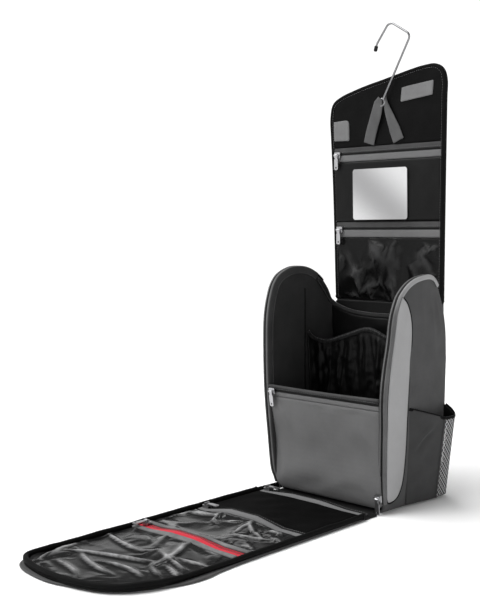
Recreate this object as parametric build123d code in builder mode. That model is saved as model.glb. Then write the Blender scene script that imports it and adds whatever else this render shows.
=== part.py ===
"""A hanging toiletry bag, opened out: a padded compartment with a front flap that lies on the floor and a hanging
panel that stands up behind it.

Millimetres. The origin is on the floor at the middle of the compartment, +Z up. +X is the bag's right side as seen
from the front, and the front flap lies towards -Y.
"""

import os
from math import atan, cos, hypot, radians, sin, tan

from build123d import *

os.makedirs("parts", exist_ok=True)

# Compartment
body_width = 200.0
body_depth = 145.0
side_height = 322.0
side_lean = 15.0
side_thickness = 8.0
rim_height = 4.0
rim_proud = 1.5
back_thickness = 3.0
lining_thickness = 5.0
front_wall_thickness = 3.0
base_thickness = 2.5
board_thickness = 2.5

# Side walls, seen from the side: how far behind the front face each corner of the outline lies
side_bottom_front = 4.0
side_bulge = -15.0
side_bulge_height = 150.0
side_top_front = 15.0
side_top_back = 126.0
side_shoulder = 137.0
side_shoulder_height = 200.0
side_front_foot_radius = 22.0
side_bulge_radius = 150.0
side_front_top_radius = 50.0
side_back_top_radius = 55.0
side_back_foot_radius = 10.0
zip_start_height = 12.0
zip_end_height = 262.0

# Light panel on the front half of each side wall
accent_thickness = 0.8
accent_margin = 0.6
accent_waist_height = 130.0
accent_top = 33.0
accent_foot = 22.0

# Pocket on each side wall
pocket_seam = 55.0
pocket_corner = 113.0
pocket_rear = 140.0
pocket_floor = 3.0
pocket_floor_thickness = 2.0
pocket_depth_foot = 9.0
pocket_depth_mouth = 20.0
pocket_mouth = 120.0
pocket_mouth_at_seam = 138.0
pocket_cloth = 1.8
pocket_trim = 3.0

# Saddle: the bound edge of the lining under the hanging panel
saddle_height = 253.0
saddle_end_height = 270.5
saddle_trim = 4.0

# Elastic pocket inside the compartment
elastic_setback = 20.0
elastic_cloth = 2.0
elastic_height = 222.0
elastic_band_height = 7.0
elastic_band_thickness = 4.5

# Front pocket
front_pocket_inset = 6.0
front_pocket_thickness = 4.0
front_pocket_foot = 14.0
front_pocket_top = 142.0
front_pocket_corner_radius = 12.0
front_zip_width = 13.0

# Zips
teeth_width = 5.0
teeth_height = 1.5
slider_length = 11.0
slider_width = 9.0
slider_height = 3.4
slider_corner_radius = 1.8
crown_radius = 0.9
crown_gap = 5.0
crown_post = 1.6
crown_post_width = 2.4
crown_cap = 0.4
puller_length = 22.0
puller_width = 7.0
puller_neck_width = 4.4
puller_neck_length = 5.0
puller_thickness = 1.4
eye_radius = 1.75
zip_end_margin = 8.0

# Front flap
flap_width = 198.0
flap_hinge_front = 20.0
flap_hinge_height = 12.0
flap_end_length = 112.0
flap_closed_room = 1.5
flap_end_radius_right = 80.0
flap_end_radius_left = 35.0
flap_shell_thickness = 3.0
flap_pocket_thickness = 6.0
flap_edge_width = 4.7
flap_band_width = 15.0
flap_zip_2_front = 140.0
red_zip_front = 246.0

# Hanging panel
panel_hinge_height = 272.0
panel_crease_height = 390.0
panel_foot_width = 194.6
panel_crease_width = 199.0
panel_top_width = 210.0
panel_top_left = 574.0
panel_top_right = 611.0
panel_top_radius_left = 24.0
panel_top_radius_right = 17.0
panel_shell_thickness = 3.3
panel_pocket_thickness = 3.7
panel_edge_width = 4.0
panel_zip_low_width = 23.0
panel_zip_high_foot = 480.0
panel_zip_high_width = 21.0
mirror_width = 100.0
mirror_height = 75.0
mirror_thickness = 2.0
mirror_centre = -9.0
mirror_foot = 393.0
mirror_corner_radius = 4.0
patch_thickness = 1.3
patch_corner_radius = 3.0
wide_patch_width = 57.0
wide_patch_height = 24.0
wide_patch_centre = (56.0, 573.0)
tall_patch_width = 28.0
tall_patch_height = 31.0
tall_patch_centre = (-82.0, 526.5)

# Webbing and hook
strap_width = 19.0
strap_thickness = 1.6
strap_foot_height = 503.0
strap_left_foot = -31.0
strap_right_foot = 27.0
hook_eye = (-1.0, 562.0)
hook_wire_radius = 1.5
hook_eye_radius = 5.0
hook_eye_length = 7.4
hook_standoff = 4.8
hook_outer_bend = (51.0, 652.0)
hook_top_bend = (14.0, 675.0)
hook_inner_bend = (-9.0, 646.0)
hook_end = (-11.5, 638.0)
hook_outer_radius = 8.0
hook_top_radius = 10.0
hook_inner_radius = 12.0
tip_radius = 2.7
tip_length = 8.0
tip_cap = 2.5

# Clearances
cloth_gap = 0.3
crease_gap = 0.4
running_gap = 0.1
slider_gap = 0.3
fit_gap = 0.05

# Places worked out from the sizes above
front = -body_depth / 2
lean = atan(side_lean / side_height)
wall_foot = body_width / 2 - rim_proud
inner_foot = wall_foot - side_thickness / cos(lean)
rim_thickness = side_thickness + rim_proud
floor_top = base_thickness + cloth_gap + board_thickness + cloth_gap
back_seam = body_depth - back_thickness - cloth_gap
lining_front = back_seam - lining_thickness
bulge_lean = atan((side_bottom_front - side_bulge) / side_bulge_height)

flap_hinge_y = front - flap_hinge_front
# Closed, the flap stands in front of the side walls, and its crease is just above their zips
flap_crease_y = flap_hinge_y - (side_height + teeth_height + flap_closed_room - flap_hinge_height)
flap_end_y = flap_crease_y - flap_end_length
flap_top = flap_shell_thickness + flap_pocket_thickness
flap_tape_top = flap_top - teeth_height
panel_hinge_y = body_depth / 2 - back_thickness + 1.0
panel_back = panel_pocket_thickness + panel_shell_thickness + 2 * cloth_gap
crown_rise = eye_radius + slider_gap
teeth_inset = slider_width / 2 + cloth_gap
accent_edge = pocket_seam - accent_margin


def behind_front(distance: float) -> float:
    """The Y of a point that far behind the compartment's front face."""
    return front + distance


def clear_half(height: float) -> float:
    """Half the clear width between the side walls at a height."""
    return inner_foot + height * tan(lean) - cloth_gap


# The right side wall's outer face: its first axis runs to the back, its second up the wall, and it faces out
side_plane = Plane(origin=(wall_foot, 0, 0), x_dir=(0, 1, 0), z_dir=(cos(lean), 0, -sin(lean)))
# The line of the side walls' front edges: its second axis runs up, leaning forward, and it faces the front
front_plane = Plane(
    origin=(0, behind_front(side_bottom_front), 0),
    x_dir=(1, 0, 0),
    z_dir=(0, -cos(bulge_lean), -sin(bulge_lean)),
)
# The hanging panel's front face, which holds both of its creases
panel_plane = Plane(origin=(0, panel_hinge_y, 0), x_dir=(1, 0, 0), z_dir=(0, -1, 0))


def save(part: Part, name: str) -> None:
    """Labels a finished piece and writes it under its node's name."""
    part.label = name
    export_step(part, f"parts/{name}.step")


def mirrored(part: Part) -> Part:
    """The same piece on the other side of the bag."""
    with BuildPart() as other:
        mirror(part, about=Plane.YZ)
    return other.part


def level_slab(corners: list, low: float, high: float) -> Part:
    """A flat slab with the given corners, seen from above, between two heights."""
    with BuildPart() as slab:
        with BuildSketch(Plane.XY.offset(low)):
            with BuildLine():
                Polyline(*corners, close=True)
            make_face()
        extrude(amount=high - low)
    return slab.part


def plate(plane: Plane, foot: float, top: float, half_foot: float, half_top: float, back: float, face: float) -> Part:
    """A plate on a standing plane, as wide as given at its foot and top, from its back to its face."""
    with BuildPart() as piece:
        with BuildSketch(plane.offset(back)):
            with BuildLine():
                Polyline((-half_foot, foot), (half_foot, foot), (half_top, top), (-half_top, top), close=True)
            make_face()
        extrude(amount=face - back)
    return piece.part


# Base, back and front of the compartment

base_half = clear_half(0)
save(
    level_slab(
        [
            (-base_half, flap_hinge_y + crease_gap),
            (base_half, flap_hinge_y + crease_gap),
            (base_half, behind_front(back_seam)),
            (-base_half, behind_front(back_seam)),
        ],
        0,
        base_thickness,
    ),
    "base_panel",
)

board_low = base_thickness + cloth_gap
save(
    level_slab(
        [
            (-base_half, behind_front(side_bottom_front + front_pocket_inset)),
            (base_half, behind_front(side_bottom_front + front_pocket_inset)),
            (base_half, behind_front(back_seam)),
            (-base_half, behind_front(back_seam)),
        ],
        board_low,
        board_low + board_thickness,
    ),
    "base_board",
)

with BuildPart() as back_wall:
    with BuildSketch(Plane.XZ.offset(-behind_front(body_depth - back_thickness))):
        with BuildLine():
            FilletPolyline(
                (-wall_foot, 0),
                (wall_foot, 0),
                (wall_foot + saddle_height * tan(lean), saddle_height),
                (panel_foot_width / 2, panel_hinge_height - crease_gap),
                (-panel_foot_width / 2, panel_hinge_height - crease_gap),
                (-wall_foot - saddle_height * tan(lean), saddle_height),
                close=True,
                radius=[side_back_foot_radius] * 2 + [0] * 4,
            )
        make_face()
    extrude(amount=-back_thickness)
save(back_wall.part, "back_wall")


def saddle_slab(low_shift: float, top_shift: float, foot: float) -> Part:
    """A slab of the lining between the side walls, whose top edge sags between its ends.

    A foot of None gives the strip between the two sagging edges, and else the slab stands on that height.
    """
    end_half = clear_half(saddle_end_height) - cloth_gap
    with BuildPart() as slab:
        with BuildSketch(Plane.XZ.offset(-behind_front(lining_front))):
            with BuildLine():
                top = ThreePointArc(
                    (-end_half, saddle_end_height + top_shift),
                    (0, saddle_height + top_shift),
                    (end_half, saddle_end_height + top_shift),
                )
                if foot is None:
                    low = ThreePointArc(
                        (-end_half, saddle_end_height + low_shift),
                        (0, saddle_height + low_shift),
                        (end_half, saddle_end_height + low_shift),
                    )
                    Line(top @ 0, low @ 0)
                    Line(top @ 1, low @ 1)
                else:
                    Polyline(top @ 0, (-clear_half(foot), foot), (clear_half(foot), foot), top @ 1)
            make_face()
        extrude(amount=-lining_thickness)
    return slab.part


save(saddle_slab(0, -saddle_trim - cloth_gap, floor_top), "back_lining")
save(saddle_slab(-saddle_trim, 0, None), "saddle_binding")

# The front wall leans forward with the side walls' front edges
pocket_face = -front_pocket_inset
pocket_back = pocket_face - front_pocket_thickness
wall_face = pocket_back - cloth_gap
wall_foot_height = floor_top / cos(bulge_lean) + wall_face * tan(bulge_lean) + front_wall_thickness
front_top = front_pocket_top + cloth_gap + front_zip_width

save(
    plate(
        front_plane,
        wall_foot_height,
        front_top,
        clear_half(wall_foot_height),
        clear_half(front_top),
        wall_face - front_wall_thickness,
        wall_face,
    ),
    "front_wall",
)

with BuildPart() as front_pocket:
    with BuildSketch(front_plane.offset(pocket_back)):
        with BuildLine():
            FilletPolyline(
                (-clear_half(front_pocket_foot), front_pocket_foot),
                (clear_half(front_pocket_foot), front_pocket_foot),
                (clear_half(front_pocket_top), front_pocket_top),
                (-clear_half(front_pocket_top), front_pocket_top),
                close=True,
                radius=[front_pocket_corner_radius] * 2 + [0, 0],
            )
        make_face()
    extrude(amount=front_pocket_thickness)
save(front_pocket.part, "front_pocket")


# Side walls

outline_points = [
    (behind_front(side_bottom_front), 0),
    (behind_front(side_bulge), side_bulge_height),
    (behind_front(side_top_front), side_height),
    (behind_front(side_top_back), side_height),
    (behind_front(side_shoulder), side_shoulder_height),
    (behind_front(back_seam), 0),
]
outline_radii = [
    side_front_foot_radius,
    side_bulge_radius,
    side_front_top_radius,
    side_back_top_radius,
    side_bulge_radius,
    side_back_foot_radius,
]


def side_face(grow: float) -> Sketch:
    """The side wall's outline, grown by so much all round, or drawn in if it is negative."""
    with BuildSketch() as face:
        with BuildLine():
            FilletPolyline(*outline_points, close=True, radius=outline_radii)
        make_face()
        if grow:
            offset(amount=grow, mode=Mode.REPLACE)
    return face.sketch


def below_zip() -> Sketch:
    """The part of a side wall's plane that the main zip doesn't run through: its foot and its rear edge."""
    low = -body_depth
    with BuildSketch() as face:
        with BuildLine():
            Polyline(
                (low, low),
                (-low, low),
                (-low, zip_end_height),
                (0, zip_end_height),
                (0, zip_start_height),
                (low, zip_start_height),
                close=True,
            )
        make_face()
    return face.sketch


inside = side_plane.offset(-side_thickness)
outline = side_face(0)
zip_inner_edge = side_face(-rim_height)
wall_inside_zip = side_face(-rim_height - cloth_gap)
unzipped = below_zip()

with BuildPart() as side_wall:
    with BuildSketch(inside):
        add(outline)
        add(unzipped, mode=Mode.INTERSECT)
        add(wall_inside_zip)
    extrude(amount=side_thickness)
save(side_wall.part, "side_wall_right")
save(mirrored(side_wall.part), "side_wall_left")

teeth_outer_edge = side_face(teeth_height)
teeth_inner_edge = side_face(-rim_height / 2)
with BuildPart() as main_zip:
    with BuildSketch(inside):
        add(outline)
        add(zip_inner_edge, mode=Mode.SUBTRACT)
        add(unzipped, mode=Mode.SUBTRACT)
    extrude(amount=rim_thickness)
    with BuildSketch(side_plane.offset((rim_proud - side_thickness - teeth_width) / 2)):
        add(teeth_outer_edge)
        add(teeth_inner_edge, mode=Mode.SUBTRACT)
        add(unzipped, mode=Mode.SUBTRACT)
    extrude(amount=teeth_width)
save(main_zip.part, "main_zip_right")
save(mirrored(main_zip.part), "main_zip_left")

accent_inside_zip = side_face(-rim_height - 2 * cloth_gap)
with BuildPart() as accent:
    with BuildSketch(side_plane.offset(cloth_gap)):
        with BuildLine():
            FilletPolyline(
                (behind_front(-body_depth), side_height),
                (behind_front(accent_top), side_height),
                (behind_front(accent_edge), side_height - side_back_top_radius),
                (behind_front(accent_edge), accent_waist_height),
                (behind_front(accent_foot), 0),
                (behind_front(-body_depth), 0),
                close=True,
                radius=[0, 0, side_back_top_radius, side_bulge_radius, 0, 0],
            )
        make_face()
        add(accent_inside_zip, mode=Mode.INTERSECT)
    extrude(amount=accent_thickness)
    mirror(about=Plane.YZ)
save(accent.part, "side_accents")


# Pockets on the side walls

pocket_cut = [
    (behind_front(pocket_seam), pocket_mouth_at_seam),
    (behind_front(pocket_corner), pocket_mouth),
    (behind_front(body_depth), pocket_mouth),
    (behind_front(body_depth), side_height),
    (behind_front(pocket_seam), side_height),
]


def pocket_depth(height: float) -> float:
    """How far the side pocket stands out of the wall at a height."""
    share = (height - pocket_floor) / (pocket_mouth - pocket_floor)
    return pocket_depth_foot + share * (pocket_depth_mouth - pocket_depth_foot)


def pocket_plate(section, trim_line: list) -> Part:
    """A standing plate of a side pocket, lofted from the section at its floor to that at its mouth, cut to the mouth."""
    with BuildPart() as piece:
        for height in (pocket_floor, pocket_mouth_at_seam):
            level = Plane(
                origin=side_plane.from_local_coords((0, height, 0)), x_dir=(0, 1, 0), z_dir=side_plane.y_dir
            )
            with BuildSketch(level):
                with BuildLine():
                    Polyline(*section(pocket_depth(height)), close=True)
                make_face()
        loft(ruled=True)
        with BuildSketch(side_plane):
            with BuildLine():
                Polyline(*trim_line, close=True)
            make_face()
        extrude(amount=2 * pocket_depth_mouth, mode=Mode.SUBTRACT)
    return piece.part


def cloth_section(depth: float) -> list:
    """The pocket's cloth front, seen from above: a plate from its seam out to its corner. Out is negative here."""
    seam, corner = behind_front(pocket_seam), behind_front(pocket_corner)
    start = seam + (corner - seam) * pocket_cloth / (depth - cloth_gap)
    return [(seam, -cloth_gap), (corner, -depth), (corner, pocket_cloth - depth), (start, -cloth_gap)]


def mesh_section(depth: float) -> list:
    """The gusset's outer strip, seen from above."""
    low, high = behind_front(pocket_corner) + cloth_gap, behind_front(pocket_rear)
    return [(low, -depth), (high, -depth), (high, pocket_cloth - depth), (low, pocket_cloth - depth)]


def mesh_end_section(depth: float) -> list:
    """The gusset's rear strip, back to the wall, seen from above."""
    high = behind_front(pocket_rear)
    low = high - pocket_cloth
    inner = pocket_cloth + cloth_gap - depth
    return [(low, inner), (high, inner), (high, -cloth_gap), (low, -cloth_gap)]


with BuildPart() as pocket_bottom:
    level = Plane(
        origin=side_plane.from_local_coords((0, pocket_floor + pocket_floor_thickness, 0)),
        x_dir=(0, 1, 0),
        z_dir=side_plane.y_dir,
    )
    floor_depth = pocket_depth_foot - pocket_cloth - cloth_gap
    floor_start = pocket_seam + (pocket_corner - pocket_seam) * (pocket_cloth + 3 * cloth_gap) / pocket_depth_foot
    with BuildSketch(level):
        with BuildLine():
            Polyline(
                (behind_front(floor_start), -cloth_gap),
                (behind_front(pocket_corner), -floor_depth + cloth_gap),
                (behind_front(pocket_rear) - pocket_cloth - cloth_gap, -floor_depth + cloth_gap),
                (behind_front(pocket_rear) - pocket_cloth - cloth_gap, -cloth_gap),
                close=True,
            )
        make_face()
    extrude(amount=-pocket_floor_thickness)

cloth_front = pocket_plate(cloth_section, pocket_cut)
with BuildPart() as side_pocket:
    add(cloth_front)
    add(pocket_bottom.part)
save(side_pocket.part, "side_pocket_right")
save(mirrored(side_pocket.part), "side_pocket_left")

mesh_side = pocket_plate(mesh_section, pocket_cut)
mesh_end = pocket_plate(mesh_end_section, pocket_cut)
with BuildPart() as side_meshes:
    add(mesh_side)
    add(mesh_end)
    mirror(about=Plane.YZ)
save(side_meshes.part, "side_meshes")

# A bound edge lies along the pocket's mouth, over the cloth and the gusset
seam_y, corner_y, rear_y = (behind_front(y) for y in (pocket_seam, pocket_corner, pocket_rear))
with BuildPart() as pocket_trims:
    with BuildSketch(Plane(origin=side_plane.origin, x_dir=(0, 1, 0), z_dir=side_plane.y_dir)):
        with BuildLine():
            Polyline(
                (seam_y, -cloth_gap),
                (corner_y, -pocket_depth_mouth - cloth_gap),
                (rear_y, -pocket_depth_mouth - cloth_gap),
                (rear_y, -cloth_gap),
                (rear_y - pocket_trim, -cloth_gap),
                (rear_y - pocket_trim, pocket_trim - pocket_depth_mouth),
                (corner_y, pocket_trim - pocket_depth_mouth),
                (seam_y + pocket_trim * (corner_y - seam_y) / pocket_depth_mouth, -cloth_gap),
                close=True,
            )
        make_face()
    extrude(amount=side_height)
    with BuildSketch(side_plane):
        with BuildLine():
            Polyline(
                (seam_y, pocket_mouth_at_seam + cloth_gap),
                (corner_y, pocket_mouth + cloth_gap),
                (rear_y, pocket_mouth + cloth_gap),
                (rear_y, pocket_mouth + cloth_gap + pocket_trim),
                (corner_y, pocket_mouth + cloth_gap + pocket_trim),
                (seam_y, pocket_mouth_at_seam + cloth_gap + pocket_trim),
                close=True,
            )
        make_face()
    extrude(amount=2 * pocket_depth_mouth, mode=Mode.INTERSECT)
    mirror(about=Plane.YZ)
save(pocket_trims.part, "side_pocket_trims")


# Elastic pocket on the inside of the back

elastic_back = behind_front(lining_front - elastic_setback + elastic_cloth)
elastic_plane = Plane(origin=(0, elastic_back, 0), x_dir=(1, 0, 0), z_dir=(0, -1, 0))
save(
    plate(
        elastic_plane,
        floor_top,
        elastic_height,
        clear_half(floor_top),
        clear_half(elastic_height),
        0,
        elastic_cloth,
    ),
    "elastic_pocket",
)
band_foot = elastic_height + cloth_gap
save(
    plate(
        elastic_plane,
        band_foot,
        band_foot + elastic_band_height,
        clear_half(band_foot),
        clear_half(band_foot),
        (elastic_cloth - elastic_band_thickness) / 2,
        (elastic_cloth + elastic_band_thickness) / 2,
    ),
    "elastic_band",
)


# Zips: a tape with raised teeth, a slider that straddles them, and a puller on the slider's crown

def zip_tape(plane: Plane, half: float, low: float, high: float, back: float, teeth_at: float) -> Part:
    """A zip tape across a plane, with its teeth standing on its face.

    The plane is the tape's face. The tape reaches so far each side of the middle, from its low to its high edge, and
    back is the depth that it and its facing fill.
    """
    with BuildPart() as tape:
        with BuildSketch(plane.offset(-back)):
            with Locations((0, (low + high) / 2)):
                Rectangle(2 * half, high - low)
        extrude(amount=back)
        with BuildSketch(plane):
            with Locations((0, teeth_at)):
                Rectangle(2 * half, teeth_width)
        extrude(amount=teeth_height)
    return tape.part


def turned(plane: Plane, angle: float) -> Plane:
    """The same plane with its first axis turned in it by so many degrees."""
    x_dir = plane.x_dir * cos(radians(angle)) + plane.y_dir * sin(radians(angle))
    return Plane(origin=plane.origin, x_dir=x_dir, z_dir=plane.z_dir)


def zip_slider(travel: Plane, pull_turn: float) -> Part:
    """A zip slider. The plane stands on the tape's face at its middle, with its first axis along the teeth.

    The crown that the puller swings on is turned by so many degrees from the teeth.
    """
    pull = turned(travel, pull_turn)
    with BuildPart() as slider:
        with BuildSketch(travel.offset(slider_gap)):
            RectangleRounded(slider_length, slider_width, slider_corner_radius)
        extrude(amount=slider_height)
        with BuildSketch(travel):
            Rectangle(2 * slider_length, teeth_width + 2 * slider_gap)
        extrude(amount=teeth_height + slider_gap, mode=Mode.SUBTRACT)
        top = slider_gap + slider_height
        with BuildSketch(pull.offset(top)):
            for side in (-1, 1):
                with Locations((side * (crown_gap + crown_post) / 2, 0)):
                    Rectangle(crown_post, crown_post_width)
        extrude(amount=crown_rise + crown_radius + crown_cap)
        with BuildSketch(Plane(origin=crown_centre(travel), x_dir=pull.y_dir, z_dir=pull.x_dir)):
            Circle(crown_radius)
        extrude(amount=(crown_gap + crown_post) / 2, both=True)
    return slider.part


def crown_centre(travel: Plane) -> Vector:
    """The middle of the bar that a slider's puller swings on."""
    return travel.from_local_coords(Vector(0, 0, slider_gap + slider_height + crown_rise))


def zip_puller(travel: Plane, pull_turn: float) -> Part:
    """The puller of the slider that stands on the same plane, lying flat, away from the pulled side."""
    pull = turned(travel, pull_turn)
    centre = crown_centre(travel)
    flat = Plane(origin=centre, x_dir=pull.x_dir, z_dir=pull.z_dir)
    along = Plane(origin=centre, x_dir=pull.y_dir, z_dir=pull.x_dir)
    half_neck, half_tab = puller_neck_width / 2, puller_width / 2
    shoulder = puller_neck_length + half_tab - half_neck
    with BuildPart() as puller:
        with BuildSketch(along):
            Circle(eye_radius)
        extrude(amount=half_neck, both=True)
        with BuildSketch(flat.offset(-puller_thickness / 2)):
            with BuildLine():
                FilletPolyline(
                    (-half_neck, 0),
                    (-half_neck, -puller_neck_length),
                    (-half_tab, -shoulder),
                    (-half_tab, -puller_length),
                    (half_tab, -puller_length),
                    (half_tab, -shoulder),
                    (half_neck, -puller_neck_length),
                    (half_neck, 0),
                    close=True,
                    radius=[0, 0, 0, half_neck, half_neck, 0, 0, 0],
                )
            make_face()
        extrude(amount=puller_thickness)
        with BuildSketch(along):
            Circle(crown_radius + running_gap)
        extrude(amount=half_tab, both=True, mode=Mode.SUBTRACT)
        with BuildSketch(flat.offset(-puller_thickness)):
            with Locations((0, half_tab - puller_length)):
                Circle(puller_thickness)
        extrude(amount=2 * puller_thickness, mode=Mode.SUBTRACT)
    return puller.part


# Zip of the front pocket
front_zip_low = front_pocket_top + cloth_gap
front_teeth = front_zip_low + front_zip_width - teeth_inset
front_tape_plane = front_plane.offset(pocket_face - teeth_height)
front_zip_half = clear_half(front_zip_low)
save(
    zip_tape(
        front_tape_plane,
        front_zip_half,
        front_zip_low,
        front_top,
        front_pocket_thickness - teeth_height,
        front_teeth,
    ),
    "front_zip",
)
front_slider_x = -front_zip_half + zip_end_margin
front_slider_plane = Plane(
    origin=front_tape_plane.from_local_coords(Vector(front_slider_x, front_teeth, 0)),
    x_dir=(1, 0, 0),
    z_dir=front_plane.z_dir,
)
save(zip_slider(front_slider_plane, 0), "front_slider")
save(zip_puller(front_slider_plane, 0), "front_puller")

# Slider of the main zip, at its lower end on the right
main_slider_height = zip_start_height + slider_length
edge_run = hypot(side_bottom_front - side_bulge, side_bulge_height)
edge_share = main_slider_height / side_bulge_height
main_edge_y = behind_front(side_bottom_front + (side_bulge - side_bottom_front) * edge_share)
edge_up = side_plane.x_dir * ((side_bulge - side_bottom_front) / edge_run) + side_plane.y_dir * (
    side_bulge_height / edge_run
)
main_slider_plane = Plane(
    origin=side_plane.from_local_coords(Vector(main_edge_y, main_slider_height, (rim_proud - side_thickness) / 2)),
    x_dir=edge_up,
    z_dir=side_plane.z_dir.cross(edge_up),
)
save(zip_slider(main_slider_plane, -90), "main_slider")
save(zip_puller(main_slider_plane, -90), "main_puller")


# Front flap: its main part, hinged at the floor

flap_half = flap_width / 2
flap_inner_half = flap_half - flap_edge_width - cloth_gap
flap_start = flap_hinge_y - crease_gap
flap_stop = flap_crease_y + crease_gap


def across(near: float, far: float, half: float) -> list:
    """The corners of a strip across the flap, between two places along it."""
    return [(-half, near), (half, near), (half, far), (-half, far)]


save(level_slab(across(flap_start, flap_stop, flap_half), 0, flap_shell_thickness), "flap_shell")

with BuildPart() as flap_binding:
    with BuildSketch(Plane.XY.offset(flap_shell_thickness)):
        for side in (-1, 1):
            with Locations((side * (flap_half - flap_edge_width / 2), (flap_start + flap_stop) / 2)):
                Rectangle(flap_edge_width, flap_start - flap_stop)
    extrude(amount=flap_pocket_thickness)
save(flap_binding.part, "flap_binding")

zip_1_y = flap_start
zip_2_y = front - flap_zip_2_front
red_zip_y = front - red_zip_front
flap_slider_x = -flap_inner_half + zip_end_margin
flap_slider_planes = {}
for name, start in (("flap_zip_1", zip_1_y), ("flap_zip_2", zip_2_y), ("red_zip", red_zip_y)):
    tape_face = Plane.XY.offset(flap_tape_top)
    save(
        zip_tape(
            tape_face,
            flap_inner_half,
            start - flap_band_width,
            start,
            flap_tape_top - flap_shell_thickness,
            start - teeth_inset,
        ),
        name,
    )
    flap_slider_planes[name] = Plane(
        origin=(flap_slider_x, start - teeth_inset, flap_tape_top), x_dir=(1, 0, 0), z_dir=(0, 0, 1)
    )

# The two grey zips' pullers lie along the teeth, and the red one's across them
flap_pull_turns = {"flap_zip_1": 90, "flap_zip_2": 90, "red_zip": 0}
flap_slider_names = {"flap_zip_1": "flap_slider_1", "flap_zip_2": "flap_slider_2", "red_zip": "red_slider"}
flap_puller_names = {"flap_zip_1": "flap_puller_1", "flap_zip_2": "flap_puller_2", "red_zip": "red_puller"}
for name, turn in flap_pull_turns.items():
    save(zip_slider(flap_slider_planes[name], turn), flap_slider_names[name])
    save(zip_puller(flap_slider_planes[name], turn), flap_puller_names[name])

for name, near, far in (
    ("flap_pocket_1", zip_1_y - flap_band_width - cloth_gap, zip_2_y + cloth_gap),
    ("flap_pocket_2", zip_2_y - flap_band_width - cloth_gap, red_zip_y + cloth_gap),
    ("flap_pocket_3", red_zip_y - flap_band_width - cloth_gap, flap_stop),
):
    save(level_slab(across(near, far, flap_inner_half), flap_shell_thickness, flap_top), name)


# The flap's end, past the crease that goes over the top of the bag

def flap_end_face(inset: float) -> Sketch:
    """The outline of the flap's end, seen from above, drawn in by an inset on its three outer edges."""
    half = flap_half - inset
    with BuildSketch() as face:
        with BuildLine():
            FilletPolyline(
                (-half, flap_crease_y - crease_gap),
                (-half, flap_end_y + inset),
                (half, flap_end_y + inset),
                (half, flap_crease_y - crease_gap),
                close=True,
                radius=[0, flap_end_radius_left - inset, flap_end_radius_right - inset, 0],
            )
        make_face()
    return face.sketch


flap_end_outline = flap_end_face(0)
flap_end_inner = flap_end_face(flap_edge_width)
flap_end_filling = flap_end_face(flap_edge_width + cloth_gap)

with BuildPart() as flap_end_shell:
    with BuildSketch():
        add(flap_end_outline)
    extrude(amount=flap_shell_thickness)
save(flap_end_shell.part, "flap_end_shell")

with BuildPart() as flap_end_binding:
    with BuildSketch(Plane.XY.offset(flap_shell_thickness)):
        add(flap_end_outline)
        add(flap_end_inner, mode=Mode.SUBTRACT)
    extrude(amount=flap_pocket_thickness)
save(flap_end_binding.part, "flap_end_binding")

with BuildPart() as flap_end_pocket:
    with BuildSketch(Plane.XY.offset(flap_shell_thickness)):
        add(flap_end_filling)
    extrude(amount=flap_pocket_thickness)
save(flap_end_pocket.part, "flap_end_pocket")


# Hanging panel: its foot, from the saddle to its crease

def panel_half(height: float) -> float:
    """Half the panel's width at a height."""
    if height <= panel_crease_height:
        share = (height - panel_hinge_height) / (panel_crease_height - panel_hinge_height)
        return (panel_foot_width + share * (panel_crease_width - panel_foot_width)) / 2
    share = (height - panel_crease_height) / (panel_top_right - panel_crease_height)
    return (panel_crease_width + share * (panel_top_width - panel_crease_width)) / 2


def panel_plate(foot: float, top: float, inset: float, back: float, face: float) -> Part:
    """A plate across the hanging panel, drawn in from both of its edges."""
    return plate(panel_plane, foot, top, panel_half(foot) - inset, panel_half(top) - inset, back, face)


panel_inset = panel_edge_width + cloth_gap
pocket_low = -panel_pocket_thickness - cloth_gap
panel_foot = panel_hinge_height + crease_gap
panel_foot_top = panel_crease_height - crease_gap
low_zip_foot = panel_foot_top - panel_zip_low_width
low_teeth = low_zip_foot + panel_zip_low_width / 2

save(panel_plate(panel_foot, panel_foot_top, panel_inset, -panel_back, pocket_low - cloth_gap), "panel_foot_shell")
save(panel_plate(panel_foot, low_zip_foot - cloth_gap, panel_inset, pocket_low, -cloth_gap), "panel_foot_pocket")
with BuildPart() as panel_foot_binding:
    for side in (-1, 1):
        with BuildSketch(panel_plane.offset(-panel_back)):
            with BuildLine():
                Polyline(
                    (side * panel_half(panel_foot), panel_foot),
                    (side * (panel_half(panel_foot) - panel_edge_width), panel_foot),
                    (side * (panel_half(panel_foot_top) - panel_edge_width), panel_foot_top),
                    (side * panel_half(panel_foot_top), panel_foot_top),
                    close=True,
                )
            make_face()
        extrude(amount=panel_back - cloth_gap)
save(panel_foot_binding.part, "panel_foot_binding")

panel_tape_plane = panel_plane.offset(-cloth_gap - teeth_height)
panel_tape_back = panel_pocket_thickness - teeth_height
save(
    zip_tape(
        panel_tape_plane,
        panel_half(low_zip_foot) - panel_inset,
        low_zip_foot,
        panel_foot_top,
        panel_tape_back,
        low_teeth,
    ),
    "panel_low_zip",
)


# Hanging panel: its upper part, with the mirror, the patches and the hook

def panel_face(inset: float, foot: float) -> Sketch:
    """The outline of the panel above a height, seen from the front, drawn in by an inset on its outer edges."""
    half_foot, half_top = panel_half(foot) - inset, panel_top_width / 2 - inset
    with BuildSketch() as face:
        with BuildLine():
            FilletPolyline(
                (-half_foot, foot),
                (half_foot, foot),
                (half_top, panel_top_right - inset),
                (-half_top, panel_top_left - inset),
                close=True,
                radius=[0, 0, panel_top_radius_right - inset, panel_top_radius_left - inset],
            )
        make_face()
    return face.sketch


panel_start = panel_crease_height + crease_gap
high_zip_top = panel_zip_high_foot + panel_zip_high_width
panel_outline = panel_face(0, panel_start)
panel_inner_edge = panel_face(panel_edge_width, panel_start)
panel_filling = panel_face(panel_inset, panel_start)
panel_facing = panel_face(panel_inset, high_zip_top + cloth_gap)

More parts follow.
